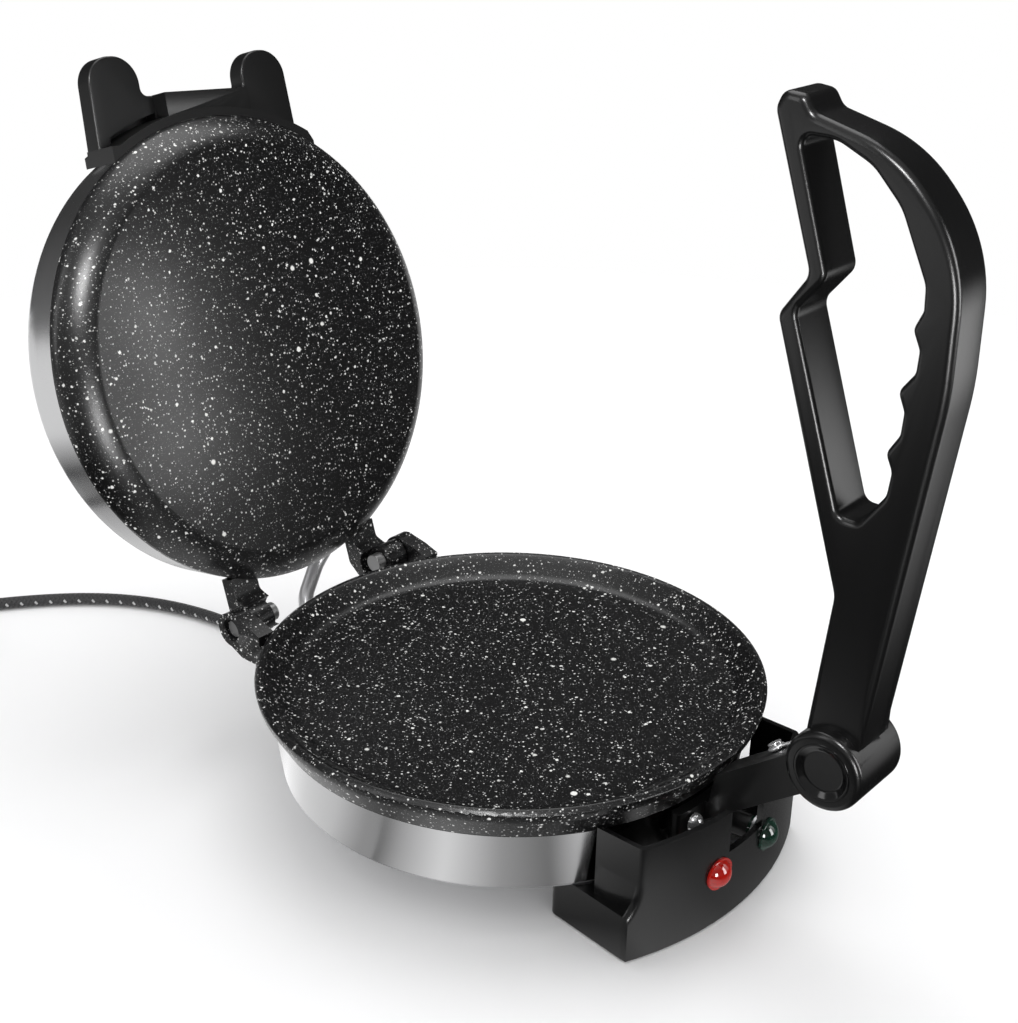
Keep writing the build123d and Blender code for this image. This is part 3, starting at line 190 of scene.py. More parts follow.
def mould_group():
    """Fine grain and slow waviness of a moulded or sprayed skin, as a height and a roughness."""
    group, source, sink = node_tree(
        "moulded skin", [("Grain", 0.0004), ("Roughness", 0.3), ("Spread", 0.08)],
        ["Height", "Roughness"])
    place = object_place(group)
    scale = math_node(group, "DIVIDE", 1.0, source.outputs["Grain"])
    grain = add(group, "ShaderNodeTexNoise", {"Detail": 3.0}, {"Vector": place, "Scale": scale})
    slow = noise_at(group, place, SLOW_WAVES)
    group.links.new(grain.outputs[0], sink.inputs["Height"])
    group.links.new(varied(group, source, slow), sink.inputs["Roughness"])
    return group


def rolled_group():
    """Rolled sheet steel: long fine level streaks as a height, and slow smudges as a roughness."""
    group, source, sink = node_tree(
        "rolled sheet", [("Roughness", 0.2), ("Spread", 0.1)], ["Height", "Roughness"])
    place = object_place(group)
    stretch = add(group, "ShaderNodeMapping", {"Scale": STREAK_WAVES}, {"Vector": place})
    streak = noise_at(group, stretch.outputs[0], 1.0)
    smudge = noise_at(group, place, SMUDGE_WAVES)
    group.links.new(streak.outputs[0], sink.inputs["Height"])
    group.links.new(varied(group, source, smudge), sink.inputs["Roughness"])
    return group


def strand(group, lie):
    """One set of parallel strands: each one's number, its round crown, and 1 where it is white."""
    number = math_node(group, "FLOOR", lie)
    across = math_node(group, "FRACT", lie)
    crown = math_node(group, "SINE", math_node(group, "MULTIPLY", across, math.pi))
    white = math_node(group, "LESS_THAN", math_node(group, "FLOORED_MODULO", number, WHITE_EVERY), 0.5)
    return number, crown, white


def braid_group():
    """Plain braid round a cord from its UV map: U is turns along the cord, V runs once round it."""
    group, source, sink = node_tree("braid", [("Strands", 6.0), ("Pitch", 1.4)], ["Height", "Fleck"])
    uv = split(group, add(group, "ShaderNodeTexCoord").outputs["UV"])
    along = math_node(group, "MULTIPLY", uv["X"], source.outputs["Pitch"])
    along = math_node(group, "MULTIPLY", along, source.outputs["Strands"])
    around = math_node(group, "MULTIPLY", uv["Y"], source.outputs["Strands"])
    left_number, left_crown, left_white = strand(group, math_node(group, "ADD", along, around))
    right_number, right_crown, right_white = strand(group, math_node(group, "SUBTRACT", along, around))
    pair = math_node(group, "ADD", left_number, right_number)
    over = math_node(group, "FLOORED_MODULO", pair, CROSSINGS)
    under = math_node(group, "SUBTRACT", 1.0, over)
    height = math_node(group, "ADD", math_node(group, "MULTIPLY", left_crown, over),
                       math_node(group, "MULTIPLY", right_crown, under))
    white = math_node(group, "MULTIPLY", math_node(group, "MULTIPLY", left_white, over), right_white)
    fleck = math_node(group, "MULTIPLY", white, ramp(group, height, *FLECK_HEIGHTS))
    group.links.new(height, sink.inputs["Height"])
    group.links.new(fleck, sink.inputs["Fleck"])
    return group


SPECKS = specks_group()
MOULD = mould_group()
BRAID = braid_group()
ROLLED = rolled_group()


# ------------------------------------------------------------------ materials

COAT_COLOUR = (0.0032, 0.0032, 0.0035, 1)
# each size of speck: its cell in metres, its largest radius in cells, the share of cells that hold one,
# its raggedness, how strongly it covers, and its colour
SPECK_SIZES = (
    (0.00075, 0.50, 0.85, 0.30, 0.30, (0.40, 0.40, 0.41, 1)),
    (0.0014, 0.46, 0.52, 0.50, 1.3, (0.74, 0.74, 0.73, 1)),
    (0.0031, 0.33, 0.42, 0.45, 1.7, (0.86, 0.86, 0.84, 1)),
    (0.0120, 0.16, 0.42, 0.10, 1.8, (0.92, 0.92, 0.89, 1)),
)
ROUGH_DEPTH = 0.0002       # of a bump, in metres
FINE_DEPTH = 0.0001
BRAID_DEPTH = 0.0004

PLASTIC_BLUE = 1.04        # a colour's blue, as a share of its red
STEEL_TONE = 0.62
STEEL_BLUE = 1.01
# painted shade: near black, standing in for the shade over the band's front inside the housing
PAINTED_SHADE_COLOUR = (0.02, 0.02, 0.02, 1)

MOTTLE_WAVES = 420.0
MOTTLE_DARK = 0.86         # the darker of a mottle's two tones, as a share of the lighter
LENS_WAVES = 260.0
LENS_MOTTLE = 0.2
# painted shade: the strands darken from their crowns into the hollows between them
YARN_HOLLOW_SHADE = (0.004, 0.004, 0.004, 1)
YARN_CROWN = (0.022, 0.022, 0.024, 1)
YARN_WHITE = (0.55, 0.55, 0.55, 1)


def blank(name):
    """New material with a Principled shader; returns the material, its tree and the shader."""
    material = bpy.data.materials.new(name)
    material.use_nodes = True
    return material, material.node_tree, material.node_tree.nodes["Principled BSDF"]


def place_group(tree, group, **values):
    """Put a node group in a material with its own values."""
    node = tree.nodes.new("ShaderNodeGroup")
    node.node_tree = group
    for label, value in values.items():
        node.inputs[label].default_value = value
    return node


def bump(tree, shader, height, strength, depth):
    """Feed a height to the shader's normal."""
    node = add(tree, "ShaderNodeBump", {"Strength": strength, "Distance": depth}, {"Height": height})
    tree.links.new(node.outputs[0], shader.inputs["Normal"])


def skin(tree, shader, group, strength, depth, **values):
    """Give a shader the roughness and the height of a skin group, placed with its own values."""
    node = place_group(tree, group, **values)
    tree.links.new(node.outputs["Roughness"], shader.inputs["Roughness"])
    bump(tree, shader, node.outputs["Height"], strength, depth)


def granite_coat():
    """Sprayed non-stick coat: charcoal with dust-like, fine, medium and large white specks."""
    material, tree, shader = blank("granite coat")
    colour = COAT_COLOUR
    for cell, largest, share, ragged, cover, white in SPECK_SIZES:
        specks = place_group(tree, SPECKS, Cell=cell, Largest=largest, Share=share, Raggedness=ragged)
        amount = math_node(tree, "MULTIPLY", specks.outputs["Mask"], cover, clamp=True)
        colour = mix_colour(tree, amount, colour, white)
    tree.links.new(colour, shader.inputs["Base Color"])
    skin(tree, shader, MOULD, strength=0.16, depth=ROUGH_DEPTH,
         Grain=0.0007, Roughness=0.30, Spread=0.06)
    return material


def black_plastic(name, roughness, grain, shade=0.0042):
    """Moulded black plastic; grain is the strength of its bump."""
    material, tree, shader = blank(name)
    shader.inputs["Base Color"].default_value = (shade, shade, shade * PLASTIC_BLUE, 1)
    skin(tree, shader, MOULD, strength=grain, depth=FINE_DEPTH,
         Grain=0.0006, Roughness=roughness, Spread=0.05)
    return material


def front_stretch(tree, half):
    """1 on the front within a half width of the middle, and 0 elsewhere."""
    parts = split(tree, object_place(tree))
    beside = math_node(tree, "LESS_THAN", math_node(tree, "ABSOLUTE", parts["X"]), half)
    return math_node(tree, "MULTIPLY", beside, math_node(tree, "LESS_THAN", parts["Y"], 0.0))


def sheet_steel(name, roughness, painted_shade_half=0.0):
    """Rolled stainless sheet, with painted shade, if asked, darkening a stretch of its front inside the
    housing.
    """
    material, tree, shader = blank(name)
    bright = (STEEL_TONE, STEEL_TONE, STEEL_TONE * STEEL_BLUE, 1)
    shader.inputs["Base Color"].default_value = bright
    # painted shade: the front stretch inside the housing is painted near black where shade falls
    if painted_shade_half:
        colour = mix_colour(tree, front_stretch(tree, painted_shade_half), bright, PAINTED_SHADE_COLOUR)
        tree.links.new(colour, shader.inputs["Base Color"])
    shader.inputs["Metallic"].default_value = 1.0
    skin(tree, shader, ROLLED, strength=0.02, depth=FINE_DEPTH, Roughness=roughness, Spread=0.04)
    return material


def metal(name, colour, roughness, metallic=1.0):
    """Plain or plated metal part."""
    material, tree, shader = blank(name)
    shader.inputs["Base Color"].default_value = (*colour, 1)
    shader.inputs["Metallic"].default_value = metallic
    skin(tree, shader, MOULD, strength=0.03, depth=FINE_DEPTH,
         Grain=0.0005, Roughness=roughness, Spread=0.05)
    return material


def plain_solid(name, colour, roughness):
    """Ceramic, fibre or rubber with a faint grain."""
    material, tree, shader = blank(name)
    mottle = noise_at(tree, object_place(tree), MOTTLE_WAVES, detail=3.0)
    dark = tuple(c * MOTTLE_DARK for c in colour)
    tint = mix_colour(tree, mottle.outputs[0], (*dark, 1), (*colour, 1))
    tree.links.new(tint, shader.inputs["Base Color"])
    shader.inputs["Roughness"].default_value = roughness
    bump(tree, shader, mottle.outputs[0], strength=0.08, depth=ROUGH_DEPTH)
    return material


def lamp_glass(name, deep, rim):
    """Coloured lens: deeper at its middle, and lighter where it turns away from view, as a painted
    sheen.
    """
    material, tree, shader = blank(name)
    # painted sheen: the facing weight lightens the colour towards the rim
    weight = add(tree, "ShaderNodeLayerWeight", {"Blend": 0.45})
    mottle = noise_at(tree, object_place(tree), LENS_WAVES)
    shade = math_node(tree, "MULTIPLY_ADD", mottle.outputs[0], LENS_MOTTLE, weight.outputs["Facing"])
    tree.links.new(mix_colour(tree, shade, (*deep, 1), (*rim, 1)), shader.inputs["Base Color"])
    shader.inputs["Roughness"].default_value = 0.08
    shader.inputs["Coat Weight"].default_value = 0.6
    return material


def cord_cover():
    """Black braid with a white yarn that shows as flecks, and painted shade in the hollows between
    strands.
    """
    material, tree, shader = blank("cord braid")
    braid = place_group(tree, BRAID, Strands=6.0, Pitch=1.25)
    # painted shade: darker in the hollows between strands, lighter on their crowns
    yarn = mix_colour(tree, braid.outputs["Height"], YARN_HOLLOW_SHADE, YARN_CROWN)
    colour = mix_colour(tree, braid.outputs["Fleck"], yarn, YARN_WHITE)
    tree.links.new(colour, shader.inputs["Base Color"])
    shader.inputs["Roughness"].default_value = 0.62
    shader.inputs["Sheen Weight"].default_value = 0.25
    bump(tree, shader, braid.outputs["Height"], strength=0.9, depth=BRAID_DEPTH)
    return material


COAT = granite_coat()
LEVER_PLASTIC = black_plastic("lever plastic", roughness=0.26, grain=0.05)
HOUSING_PLASTIC = black_plastic("housing plastic", roughness=0.20, grain=0.03)
HANDLE_PLASTIC = black_plastic("handle plastic", roughness=0.32, grain=0.09)
CAP_PLASTIC = black_plastic("cap plastic", roughness=0.12, grain=0.02)
CAST_COAT = black_plastic("cast coat", roughness=0.30, grain=0.14, shade=0.0048)
FOOT_PLASTIC = black_plastic("foot plastic", roughness=0.45, grain=0.12)
# the band's front inside the housing carries painted shade, 61 mm to each side of the middle
BAND_STEEL = sheet_steel("band steel", roughness=0.20, painted_shade_half=0.061)
COVER_STEEL = sheet_steel("cover steel", roughness=0.22)
PLAIN_STEEL = metal("plain steel", (0.48, 0.48, 0.49), roughness=0.32)
CHROME = metal("chrome", (0.82, 0.82, 0.83), roughness=0.14, metallic=0.8)
SATIN_STEEL = metal("satin steel", (0.66, 0.66, 0.67), roughness=0.30, metallic=0.7)
DARK_STEEL = metal("dark steel", (0.30, 0.30, 0.30), roughness=0.34, metallic=0.8)
ELEMENT = metal("element steel", (0.22, 0.21, 0.20), roughness=0.45)
BRASS = metal("pin brass", (0.62, 0.48, 0.24), roughness=0.25)
CERAMIC = plain_solid("ceramic", (0.80, 0.78, 0.72), roughness=0.5)
FIBRE = plain_solid("fibre", (0.72, 0.70, 0.62), roughness=0.9)
RUBBER = plain_solid("rubber", (0.022, 0.022, 0.022), roughness=0.7)
SOFT_RUBBER = plain_solid("soft rubber", (0.014, 0.014, 0.014), roughness=0.45)
RED_LENS = lamp_glass("red lens", deep=(0.34, 0.004, 0.002), rim=(0.52, 0.02, 0.012))
GREEN_LENS = lamp_glass("green lens", deep=(0.003, 0.014, 0.008), rim=(0.015, 0.05, 0.035))
BRAIDED = cord_cover()


# ------------------------------------------------------------------ pieces made from the frame's nodes

SMOOTH_ANGLE = math.radians(28)
ROUND_ANGLE = math.radians(32)
FLAT_ANGLE = math.radians(0.25)
SAME_POINT = 2e-6
CROWNED = ("upper_cover",)     # a face so nearly flat that its triangles have to stay


def made(name, mesh, material):
    """Put a finished bmesh in the scene as an object of one material."""
    data = bpy.data.meshes.new(name)
    mesh.to_mesh(data)
    mesh.free()
    data.materials.append(material)
    piece = bpy.data.objects.new(name, data)
    bpy.context.collection.objects.link(piece)
    return piece


def seat(name, mesh, material, body, *nodes):
    """A finished bmesh as a piece that rides on a body, if one is given, and stands for some nodes."""
    piece = made(name, mesh, material)
    if body:
        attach(piece, body)
    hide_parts(*nodes)
    return piece


def smooth_by_angle(piece):
    """Smooth shading, with an edge kept sharp where the faces turn by more than an angle."""
    piece.data.shade_smooth()
    piece.data.set_sharp_from_angle(angle=SMOOTH_ANGLE)


def joined_copy(node):
    """A CAD node's triangles as one joined bmesh with whole flat faces."""
    mesh = bmesh.new()
    mesh.from_mesh(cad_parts[node].data)
    bmesh.ops.remove_doubles(mesh, verts=mesh.verts, dist=SAME_POINT)
    if node not in CROWNED:
        bmesh.ops.dissolve_limit(mesh, angle_limit=FLAT_ANGLE, verts=mesh.verts, edges=mesh.edges)
    return mesh


def dressed(node, material, body, rounding):
    """A CAD node as a smooth piece, its sharp edges rounded by a fraction of a millimetre."""
    piece = seat(node + "_skin", joined_copy(node), material, body, node)
    smooth_by_angle(piece)
    if rounding:
        rounder = piece.modifiers.new("edges", "BEVEL")
        rounder.width = rounding
        rounder.segments = 2
        rounder.limit_method = "ANGLE"
        rounder.angle_limit = ROUND_ANGLE
        rounder.harden_normals = True
        rounder.use_clamp_overlap = True


def bent(node, material):
    """A CAD node as a smooth piece on no body, with its place baked into its mesh."""
    piece = seat(node + "_skin", joined_copy(node), material, None, node)
    smooth_by_angle(piece)
    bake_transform(piece)


def middle_of(node):
    """The middle of a CAD node's box."""
    low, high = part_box(node)
    return (low + high) / 2


def bent_pieces():
    """The conduit, from the band's ferrule to the lid's, and the spring's leg up into the lever."""
    bent("conduit", SATIN_STEEL)
    bent("return_spring", CHROME)


# finish of each node, and how far its sharp edges are rounded, in metres
BASE_NODES = {
    "lower_plate": (COAT, 0.0004), "lower_heater": (ELEMENT, 0), "lower_clamp_plate": (PLAIN_STEEL, 0),
    "lower_clamp_screws": (PLAIN_STEEL, 0), "lower_shell": (BAND_STEEL, 0),
    "bottom_cover": (PLAIN_STEEL, 0), "bottom_screws": (CHROME, 0), "foot_screws": (CHROME, 0),
    "thermostat": (CERAMIC, 0), "thermostat_bracket": (PLAIN_STEEL, 0), "thermal_fuse": (FIBRE, 0),
    "terminal_block": (CERAMIC, 0), "front_housing": (HOUSING_PLASTIC, 0.0007),
    "lamp_holders": (FOOT_PLASTIC, 0), "lamp_clips": (PLAIN_STEEL, 0),
    "rear_foot": (FOOT_PLASTIC, 0.0005), "foot_pads": (RUBBER, 0.0003),
    "lever_bracket": (CAST_COAT, 0.0009), "bracket_screws": (CHROME, 0),
    "lever_axle": (PLAIN_STEEL, 0), "axle_nut": (PLAIN_STEEL, 0), "pivot_sleeve": (PLAIN_STEEL, 0),
    "spring_screw": (CHROME, 0.0003), "hinge_pins": (DARK_STEEL, 0.0003),
    "hinge_nuts": (DARK_STEEL, 0.0003), "conduit_base_gland": (SOFT_RUBBER, 0.0004),
    "strain_relief": (SOFT_RUBBER, 0.0004), "plug_body": (HOUSING_PLASTIC, 0.0005),
    "plug_pins": (BRASS, 0.0004),
}
LID_NODES = {
    "upper_plate": (COAT, 0.0005), "upper_cover": (COVER_STEEL, 0), "cover_screws": (CHROME, 0),
    "upper_heater": (ELEMENT, 0), "upper_clamp_plate": (PLAIN_STEEL, 0),
    "upper_clamp_screws": (PLAIN_STEEL, 0), "upper_insulation": (FIBRE, 0),
    "lid_handle": (HANDLE_PLASTIC, 0.0007), "handle_screws": (PLAIN_STEEL, 0),
    "conduit_lid_gland": (SOFT_RUBBER, 0.0003),
}
LEVER_NODES = {
    "lever_near_half": (LEVER_PLASTIC, 0.0004), "lever_far_half": (LEVER_PLASTIC, 0.0004),
    "lever_screws": (PLAIN_STEEL, 0), "near_hub_cap": (CAP_PLASTIC, 0.0003),
    "far_hub_cap": (CAP_PLASTIC, 0.0003),
}

for body, finishes in (("base", BASE_NODES), ("lid", LID_NODES), ("lever", LEVER_NODES)):
    for node, (material, rounding) in finishes.items():
        dressed(node, material, body, rounding)
bent_pieces()


# ------------------------------------------------------------------ lamp lenses

LENS_RADIUS = 8 * MM
LENS_RISE = 5.5 * MM
LENS_LIP = 1 * MM
LENS_BACK = 8 * MM
LENS_STEM = LENS_RADIUS - 2.1 * MM
LENS_ACROSS = 20 * MM          # from the middle of the housing, to either side
DOME_STEPS = 12
LENS_SIDES = 48
LENS_SAME_POINT = 1e-7
HOUSING_ARC_RADIUS = 161.5 * MM
# the centre that the curved front is struck from, by how far the housing reaches
HOUSING_ARC_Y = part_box("front_housing")[0].y + HOUSING_ARC_RADIUS


def lens(node, material):
    """Smooth domed lens with its flat lip and stem, in the place of a CAD lens."""
    place = middle_of(node)
    place.x = math.copysign(LENS_ACROSS, place.x)
    lean = math.asin(place.x / HOUSING_ARC_RADIUS)
    place.y = HOUSING_ARC_Y - HOUSING_ARC_RADIUS * math.cos(lean)
    outward = Vector((math.sin(lean), -math.cos(lean), 0))
    foot = LENS_RADIUS - LENS_LIP
    rise = LENS_RISE - LENS_LIP
    sphere = (foot ** 2 + rise ** 2) / (2 * rise)
    widest = math.asin(foot / sphere)
    outline = [(0, -LENS_BACK), (LENS_STEM, -LENS_BACK), (LENS_STEM, 0), (LENS_RADIUS, 0),
               (LENS_RADIUS, LENS_LIP)]
    for step in range(DOME_STEPS + 1):
        angle = widest * (1 - step / DOME_STEPS)
        outline.append((sphere * math.sin(angle), LENS_RISE - sphere * (1 - math.cos(angle))))
    mesh = bmesh.new()
    corners = [mesh.verts.new((radius, 0, height)) for radius, height in outline]
    edges = [mesh.edges.new(pair) for pair in zip(corners, corners[1:])]
    bmesh.ops.spin(mesh, geom=corners + edges, cent=(0, 0, 0), axis=(0, 0, 1), angle=2 * math.pi,
                   steps=LENS_SIDES, use_merge=True, use_duplicate=False)
    bmesh.ops.remove_doubles(mesh, verts=mesh.verts, dist=LENS_SAME_POINT)
    bmesh.ops.recalc_face_normals(mesh, faces=mesh.faces)
    turn = outward.to_track_quat("Z", "Y").to_matrix().to_4x4()
    bmesh.ops.transform(mesh, matrix=Matrix.Translation(place) @ turn, verts=mesh.verts)
    smooth_by_angle(seat(node + "_skin", mesh, material, "base", node))


lens("red_lamp_lens", RED_LENS)
lens("green_lamp_lens", GREEN_LENS)


# ------------------------------------------------------------------ cord

CORD_DIAMETER = 7 * MM
CORD_SIDES = 14
CORD_FINENESS = 14             # points between two control points
CORD_LEVEL = FLOOR_LEVEL + CORD_DIAMETER / 2 + 0.1 * MM
CORD_EXIT = (0.012, 0.148, -0.052)
# from the strain relief to the coil, as in the frame
CORD_ROUTE = [CORD_EXIT, (0.012, 0.168, -0.052), (0.014, 0.194, CORD_LEVEL), (0.015, 0.224, CORD_LEVEL),
              (0.011, 0.258, CORD_LEVEL), (-0.001, 0.292, CORD_LEVEL), (-0.022, 0.323, CORD_LEVEL),
              (-0.055, 0.352, CORD_LEVEL)]

COIL_CENTRE = (-0.141, 0.356)
COIL_OUTER = 42 * MM           # middle of the cord in the outer turn
COIL_INNER = 34.8 * MM
COIL_STEPS = 16                # control points in a turn
COIL_LEAD = 28 * MM            # straight way in, before the cord meets the coil
FULL_TURNS = 3
LAYER_RISE = 7.2 * MM
# turns of the coil over which the cord goes in, up to the second layer, and out again
GOES_IN = (0.5, 0.75)
GOES_UP = (1.2, 1.5)
GOES_OUT = (2.09, 2.34)
PLUG_LEAD = 15 * MM            # past the coil's middle, where the cord turns down to the plug
PLUG_MIDDLE_HEIGHT = 12 * MM   # above the worktop


def eased(value, low, high):
    """0 before low, 1 after high, with a smooth rise between."""
    share = min(max((value - low) / (high - low), 0), 1)
    return share * share * (3 - 2 * share)


def coil_points(start_angle, turns):
    """Turns of the coil: in to the inner ring, up a layer, and back out to the outer ring."""
    corner = 1 / math.cos(math.pi / COIL_STEPS)
    points = []
    for step in range(1, round(turns * COIL_STEPS)):
        turn = step / COIL_STEPS
        inward = eased(turn, *GOES_IN) - eased(turn, *GOES_OUT)
        radius = COIL_OUTER - (COIL_OUTER - COIL_INNER) * inward
        level = CORD_LEVEL + LAYER_RISE * eased(turn, *GOES_UP)
        angle = start_angle + 2 * math.pi * turn
        points.append((COIL_CENTRE[0] + corner * radius * math.cos(angle),
                       COIL_CENTRE[1] + corner * radius * math.sin(angle), level))
    return points


def cord_control_points():
    """The whole cord: its route, the lead into the coil, the turns, and the lead out to the plug."""
    last = Vector(CORD_ROUTE[-1])
    middle = Vector((*COIL_CENTRE, CORD_LEVEL))
    gap = middle - last
    swing = math.asin(COIL_OUTER / gap.length)
    heading = gap.normalized()
    heading.rotate(Quaternion((0, 0, 1), -swing))
    touch = last + heading * math.sqrt(gap.length ** 2 - COIL_OUTER ** 2)
    start_angle = math.atan2(touch.y - middle.y, touch.x - middle.x)
    turns = FULL_TURNS + (math.pi - start_angle) / (2 * math.pi)
    plug_low, plug_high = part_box("plug_body")
    plug_x = (plug_low.x + plug_high.x) / 2
    level = CORD_LEVEL + LAYER_RISE
    lead_in = [tuple(touch - heading * COIL_LEAD), tuple(touch)]
    lead_out = [(COIL_CENTRE[0] - COIL_OUTER, COIL_CENTRE[1], level),
                (plug_x, COIL_CENTRE[1] - PLUG_LEAD, level),
                (plug_x, plug_high.y, FLOOR_LEVEL + PLUG_MIDDLE_HEIGHT)]
    return CORD_ROUTE + lead_in + coil_points(start_angle, turns) + lead_out


def centreline(points):
    """Points along the smooth line that the control points give, evenly fine."""
    curve = bpy.data.curves.new("cord line", "CURVE")
    curve.dimensions = "3D"
    curve.resolution_u = CORD_FINENESS
    spline = curve.splines.new("NURBS")
    spline.points.add(len(points) - 1)
    for point, place in zip(spline.points, points):
        point.co = (*place, 1)
    spline.order_u = 3
    spline.use_endpoint_u = True
    holder = bpy.data.objects.new("cord line", curve)
    bpy.context.collection.objects.link(holder)
    line = bpy.data.meshes.new_from_object(holder)
    places = [v.co.copy() for v in line.vertices]
    bpy.data.objects.remove(holder)
    return places


def tube(places, radius, sides):
    """Tube along a line with a UV map: U is the way along in turns round the tube, V runs round it."""
    mesh = bmesh.new()
    side = Vector((0, 0, 1))
    rings = []
    ways = []
    way = 0.0
    for index, place in enumerate(places):
        ahead = places[min(index + 1, len(places) - 1)] - places[max(index - 1, 0)]
        ahead.normalize()
        side = (side - ahead * side.dot(ahead)).normalized()
        turned = Matrix((ahead.cross(side), side, ahead)).transposed().to_4x4()
        ring = bmesh.ops.create_circle(mesh, segments=sides, radius=radius,
                                       matrix=Matrix.Translation(place) @ turned)["verts"]
        way += (place - places[index - 1]).length if index else 0
        rings.append(ring)
        ways.append(way)
    uv = mesh.loops.layers.uv.new("UVMap")
    for index in range(len(rings) - 1):
        for corner in range(sides):
            after = (corner + 1) % sides
            face = mesh.faces.new((rings[index][corner], rings[index][after],
                                   rings[index + 1][after], rings[index + 1][corner]))
            face.smooth = True
            spots = ((index, corner), (index, corner + 1), (index + 1, corner + 1), (index + 1, corner))
            for loop, (row, column) in zip(face.loops, spots):
                loop[uv].uv = (ways[row] / (2 * math.pi * radius), column / sides)
    mesh.faces.new(list(reversed(rings[0])))
    mesh.faces.new(rings[-1])
    bmesh.ops.recalc_face_normals(mesh, faces=mesh.faces)
    return mesh


cord_line = centreline(cord_control_points())
cord_mesh = tube(cord_line, CORD_DIAMETER / 2, CORD_SIDES)
cord_piece = seat("cord_braid", cord_mesh, BRAIDED, "base", "cord", "cord_coil")


# ------------------------------------------------------------------ floor and studio cards

# lengths are in metres, and a pair of them is where a rise or a fall starts and where it ends
FLOOR_RADIUS = 1.0
FLOOR_FADE = (0.45, 0.95)
FLOOR_COLOUR = (0.93, 0.93, 0.935, 1)

LYING_CARD_RADIUS = 2.5
LYING_CARD_LIFT = 0.0004
# tones of the ring close round the object: share of a full turn, starting at the left, and brightness
RING_TONES = (
    (0.0, 0.16), (0.02, 0.5), (0.06, 1.0), (0.105, 0.42), (0.145, 0.20), (0.185, 0.95), (0.24, 0.30),
    (0.30, 0.12), (0.5, 0.15), (0.8, 0.5), (0.86, 1.25), (0.905, 0.9), (0.95, 0.75), (0.985, 0.38),
)
RING_END = (0.185, 0.23)
FAR_BACK_SLANT = -0.5
FAR_BACK = (0.46, 0.62)
FAR_BACK_TONE = 0.9
BEHIND_ACROSS = (-0.20, -0.06)
BEHIND_ALONG = (0.14, 0.20)
BEHIND_TONE = 0.75
FRONT_SLANT = 0.8
FRONT = (0.6, 1.0)
FRONT_TONE = 0.10
DARK_TONE = 0.012

SIDE_CARD_PLACE = (0.168, -0.32, 0.10)
SIDE_CARD_SIZE = (0.135, 0.32, 1, 1)
SIDE_CARD_RISE = (-0.05, 0.17)
SIDE_CARD_FALL = (0.24, 0.185)
SIDE_CARD_TONE = 2.6


def flat_disc(name, radius, level, material):
    """Round flat sheet on the worktop."""
    mesh = bmesh.new()
    bmesh.ops.create_circle(mesh, cap_ends=True, segments=96, radius=radius,
                            matrix=Matrix.Translation((0, 0, level)))
    sheet = made(name, mesh, material)
    return sheet


def distance_from_middle(tree, parts):
    """Distance from the upright axis through the middle of the stage."""
    flat = add(tree, "ShaderNodeCombineXYZ", None, {"X": parts["X"], "Y": parts["Y"]})
    length = add(tree, "ShaderNodeVectorMath", None, {0: flat.outputs[0]}, operation="LENGTH")
    return length.outputs["Value"]


def pale_floor():
    """Pale worktop that fades out into the white all round."""
    material, tree, shader = blank("pale floor")
    shader.inputs["Base Color"].default_value = FLOOR_COLOUR
    shader.inputs["Roughness"].default_value = 0.7
    shader.inputs["Specular IOR Level"].default_value = 0.1
    distance = distance_from_middle(tree, split(tree, object_place(tree)))
    clear = add(tree, "ShaderNodeBsdfTransparent")
    fade = add(tree, "ShaderNodeMixShader", None,
               {0: ramp(tree, distance, *FLOOR_FADE), 1: shader.outputs[0], 2: clear.outputs[0]})
    tree.links.new(fade.outputs[0], tree.nodes["Material Output"].inputs["Surface"])
    flat_disc("floor", FLOOR_RADIUS, FLOOR_LEVEL, material)


def card_material(name):
    """New material with no shader yet; returns it and its tree."""
    material = bpy.data.materials.new(name)
    material.use_nodes = True
    material.node_tree.nodes.clear()
    return material, material.node_tree


def give_off(tree, strength):
    """White light of a strength from a card."""
    glow = add(tree, "ShaderNodeEmission", None, {"Strength": strength})
    add(tree, "ShaderNodeOutputMaterial", None, {0: glow.outputs[0]})


def show_in_reflections_alone(card):
    """Leave a card out of everything but reflections."""
    for kind in ("camera", "diffuse", "transmission", "volume_scatter", "shadow"):
        setattr(card, "visible_" + kind, False)


def ring_tones(tree, parts):
    """Pale and dark stretches by the angle about the middle of the stage."""
    angle = math_node(tree, "ARCTAN2", parts["Y"], parts["X"])
    turn = ramp(tree, angle, -math.pi, math.pi)
    bands = add(tree, "ShaderNodeValToRGB", None, {0: turn})
    elements = bands.color_ramp.elements
    while len(elements) > 1:
        elements.remove(elements[-1])
    elements[0].position = RING_TONES[0][0]
    for place, _ in RING_TONES[1:]:
        elements.new(place)
    for element, (_, tone) in zip(elements, RING_TONES):
        element.color = (tone, tone, tone, 1)
    return bands.outputs[0]


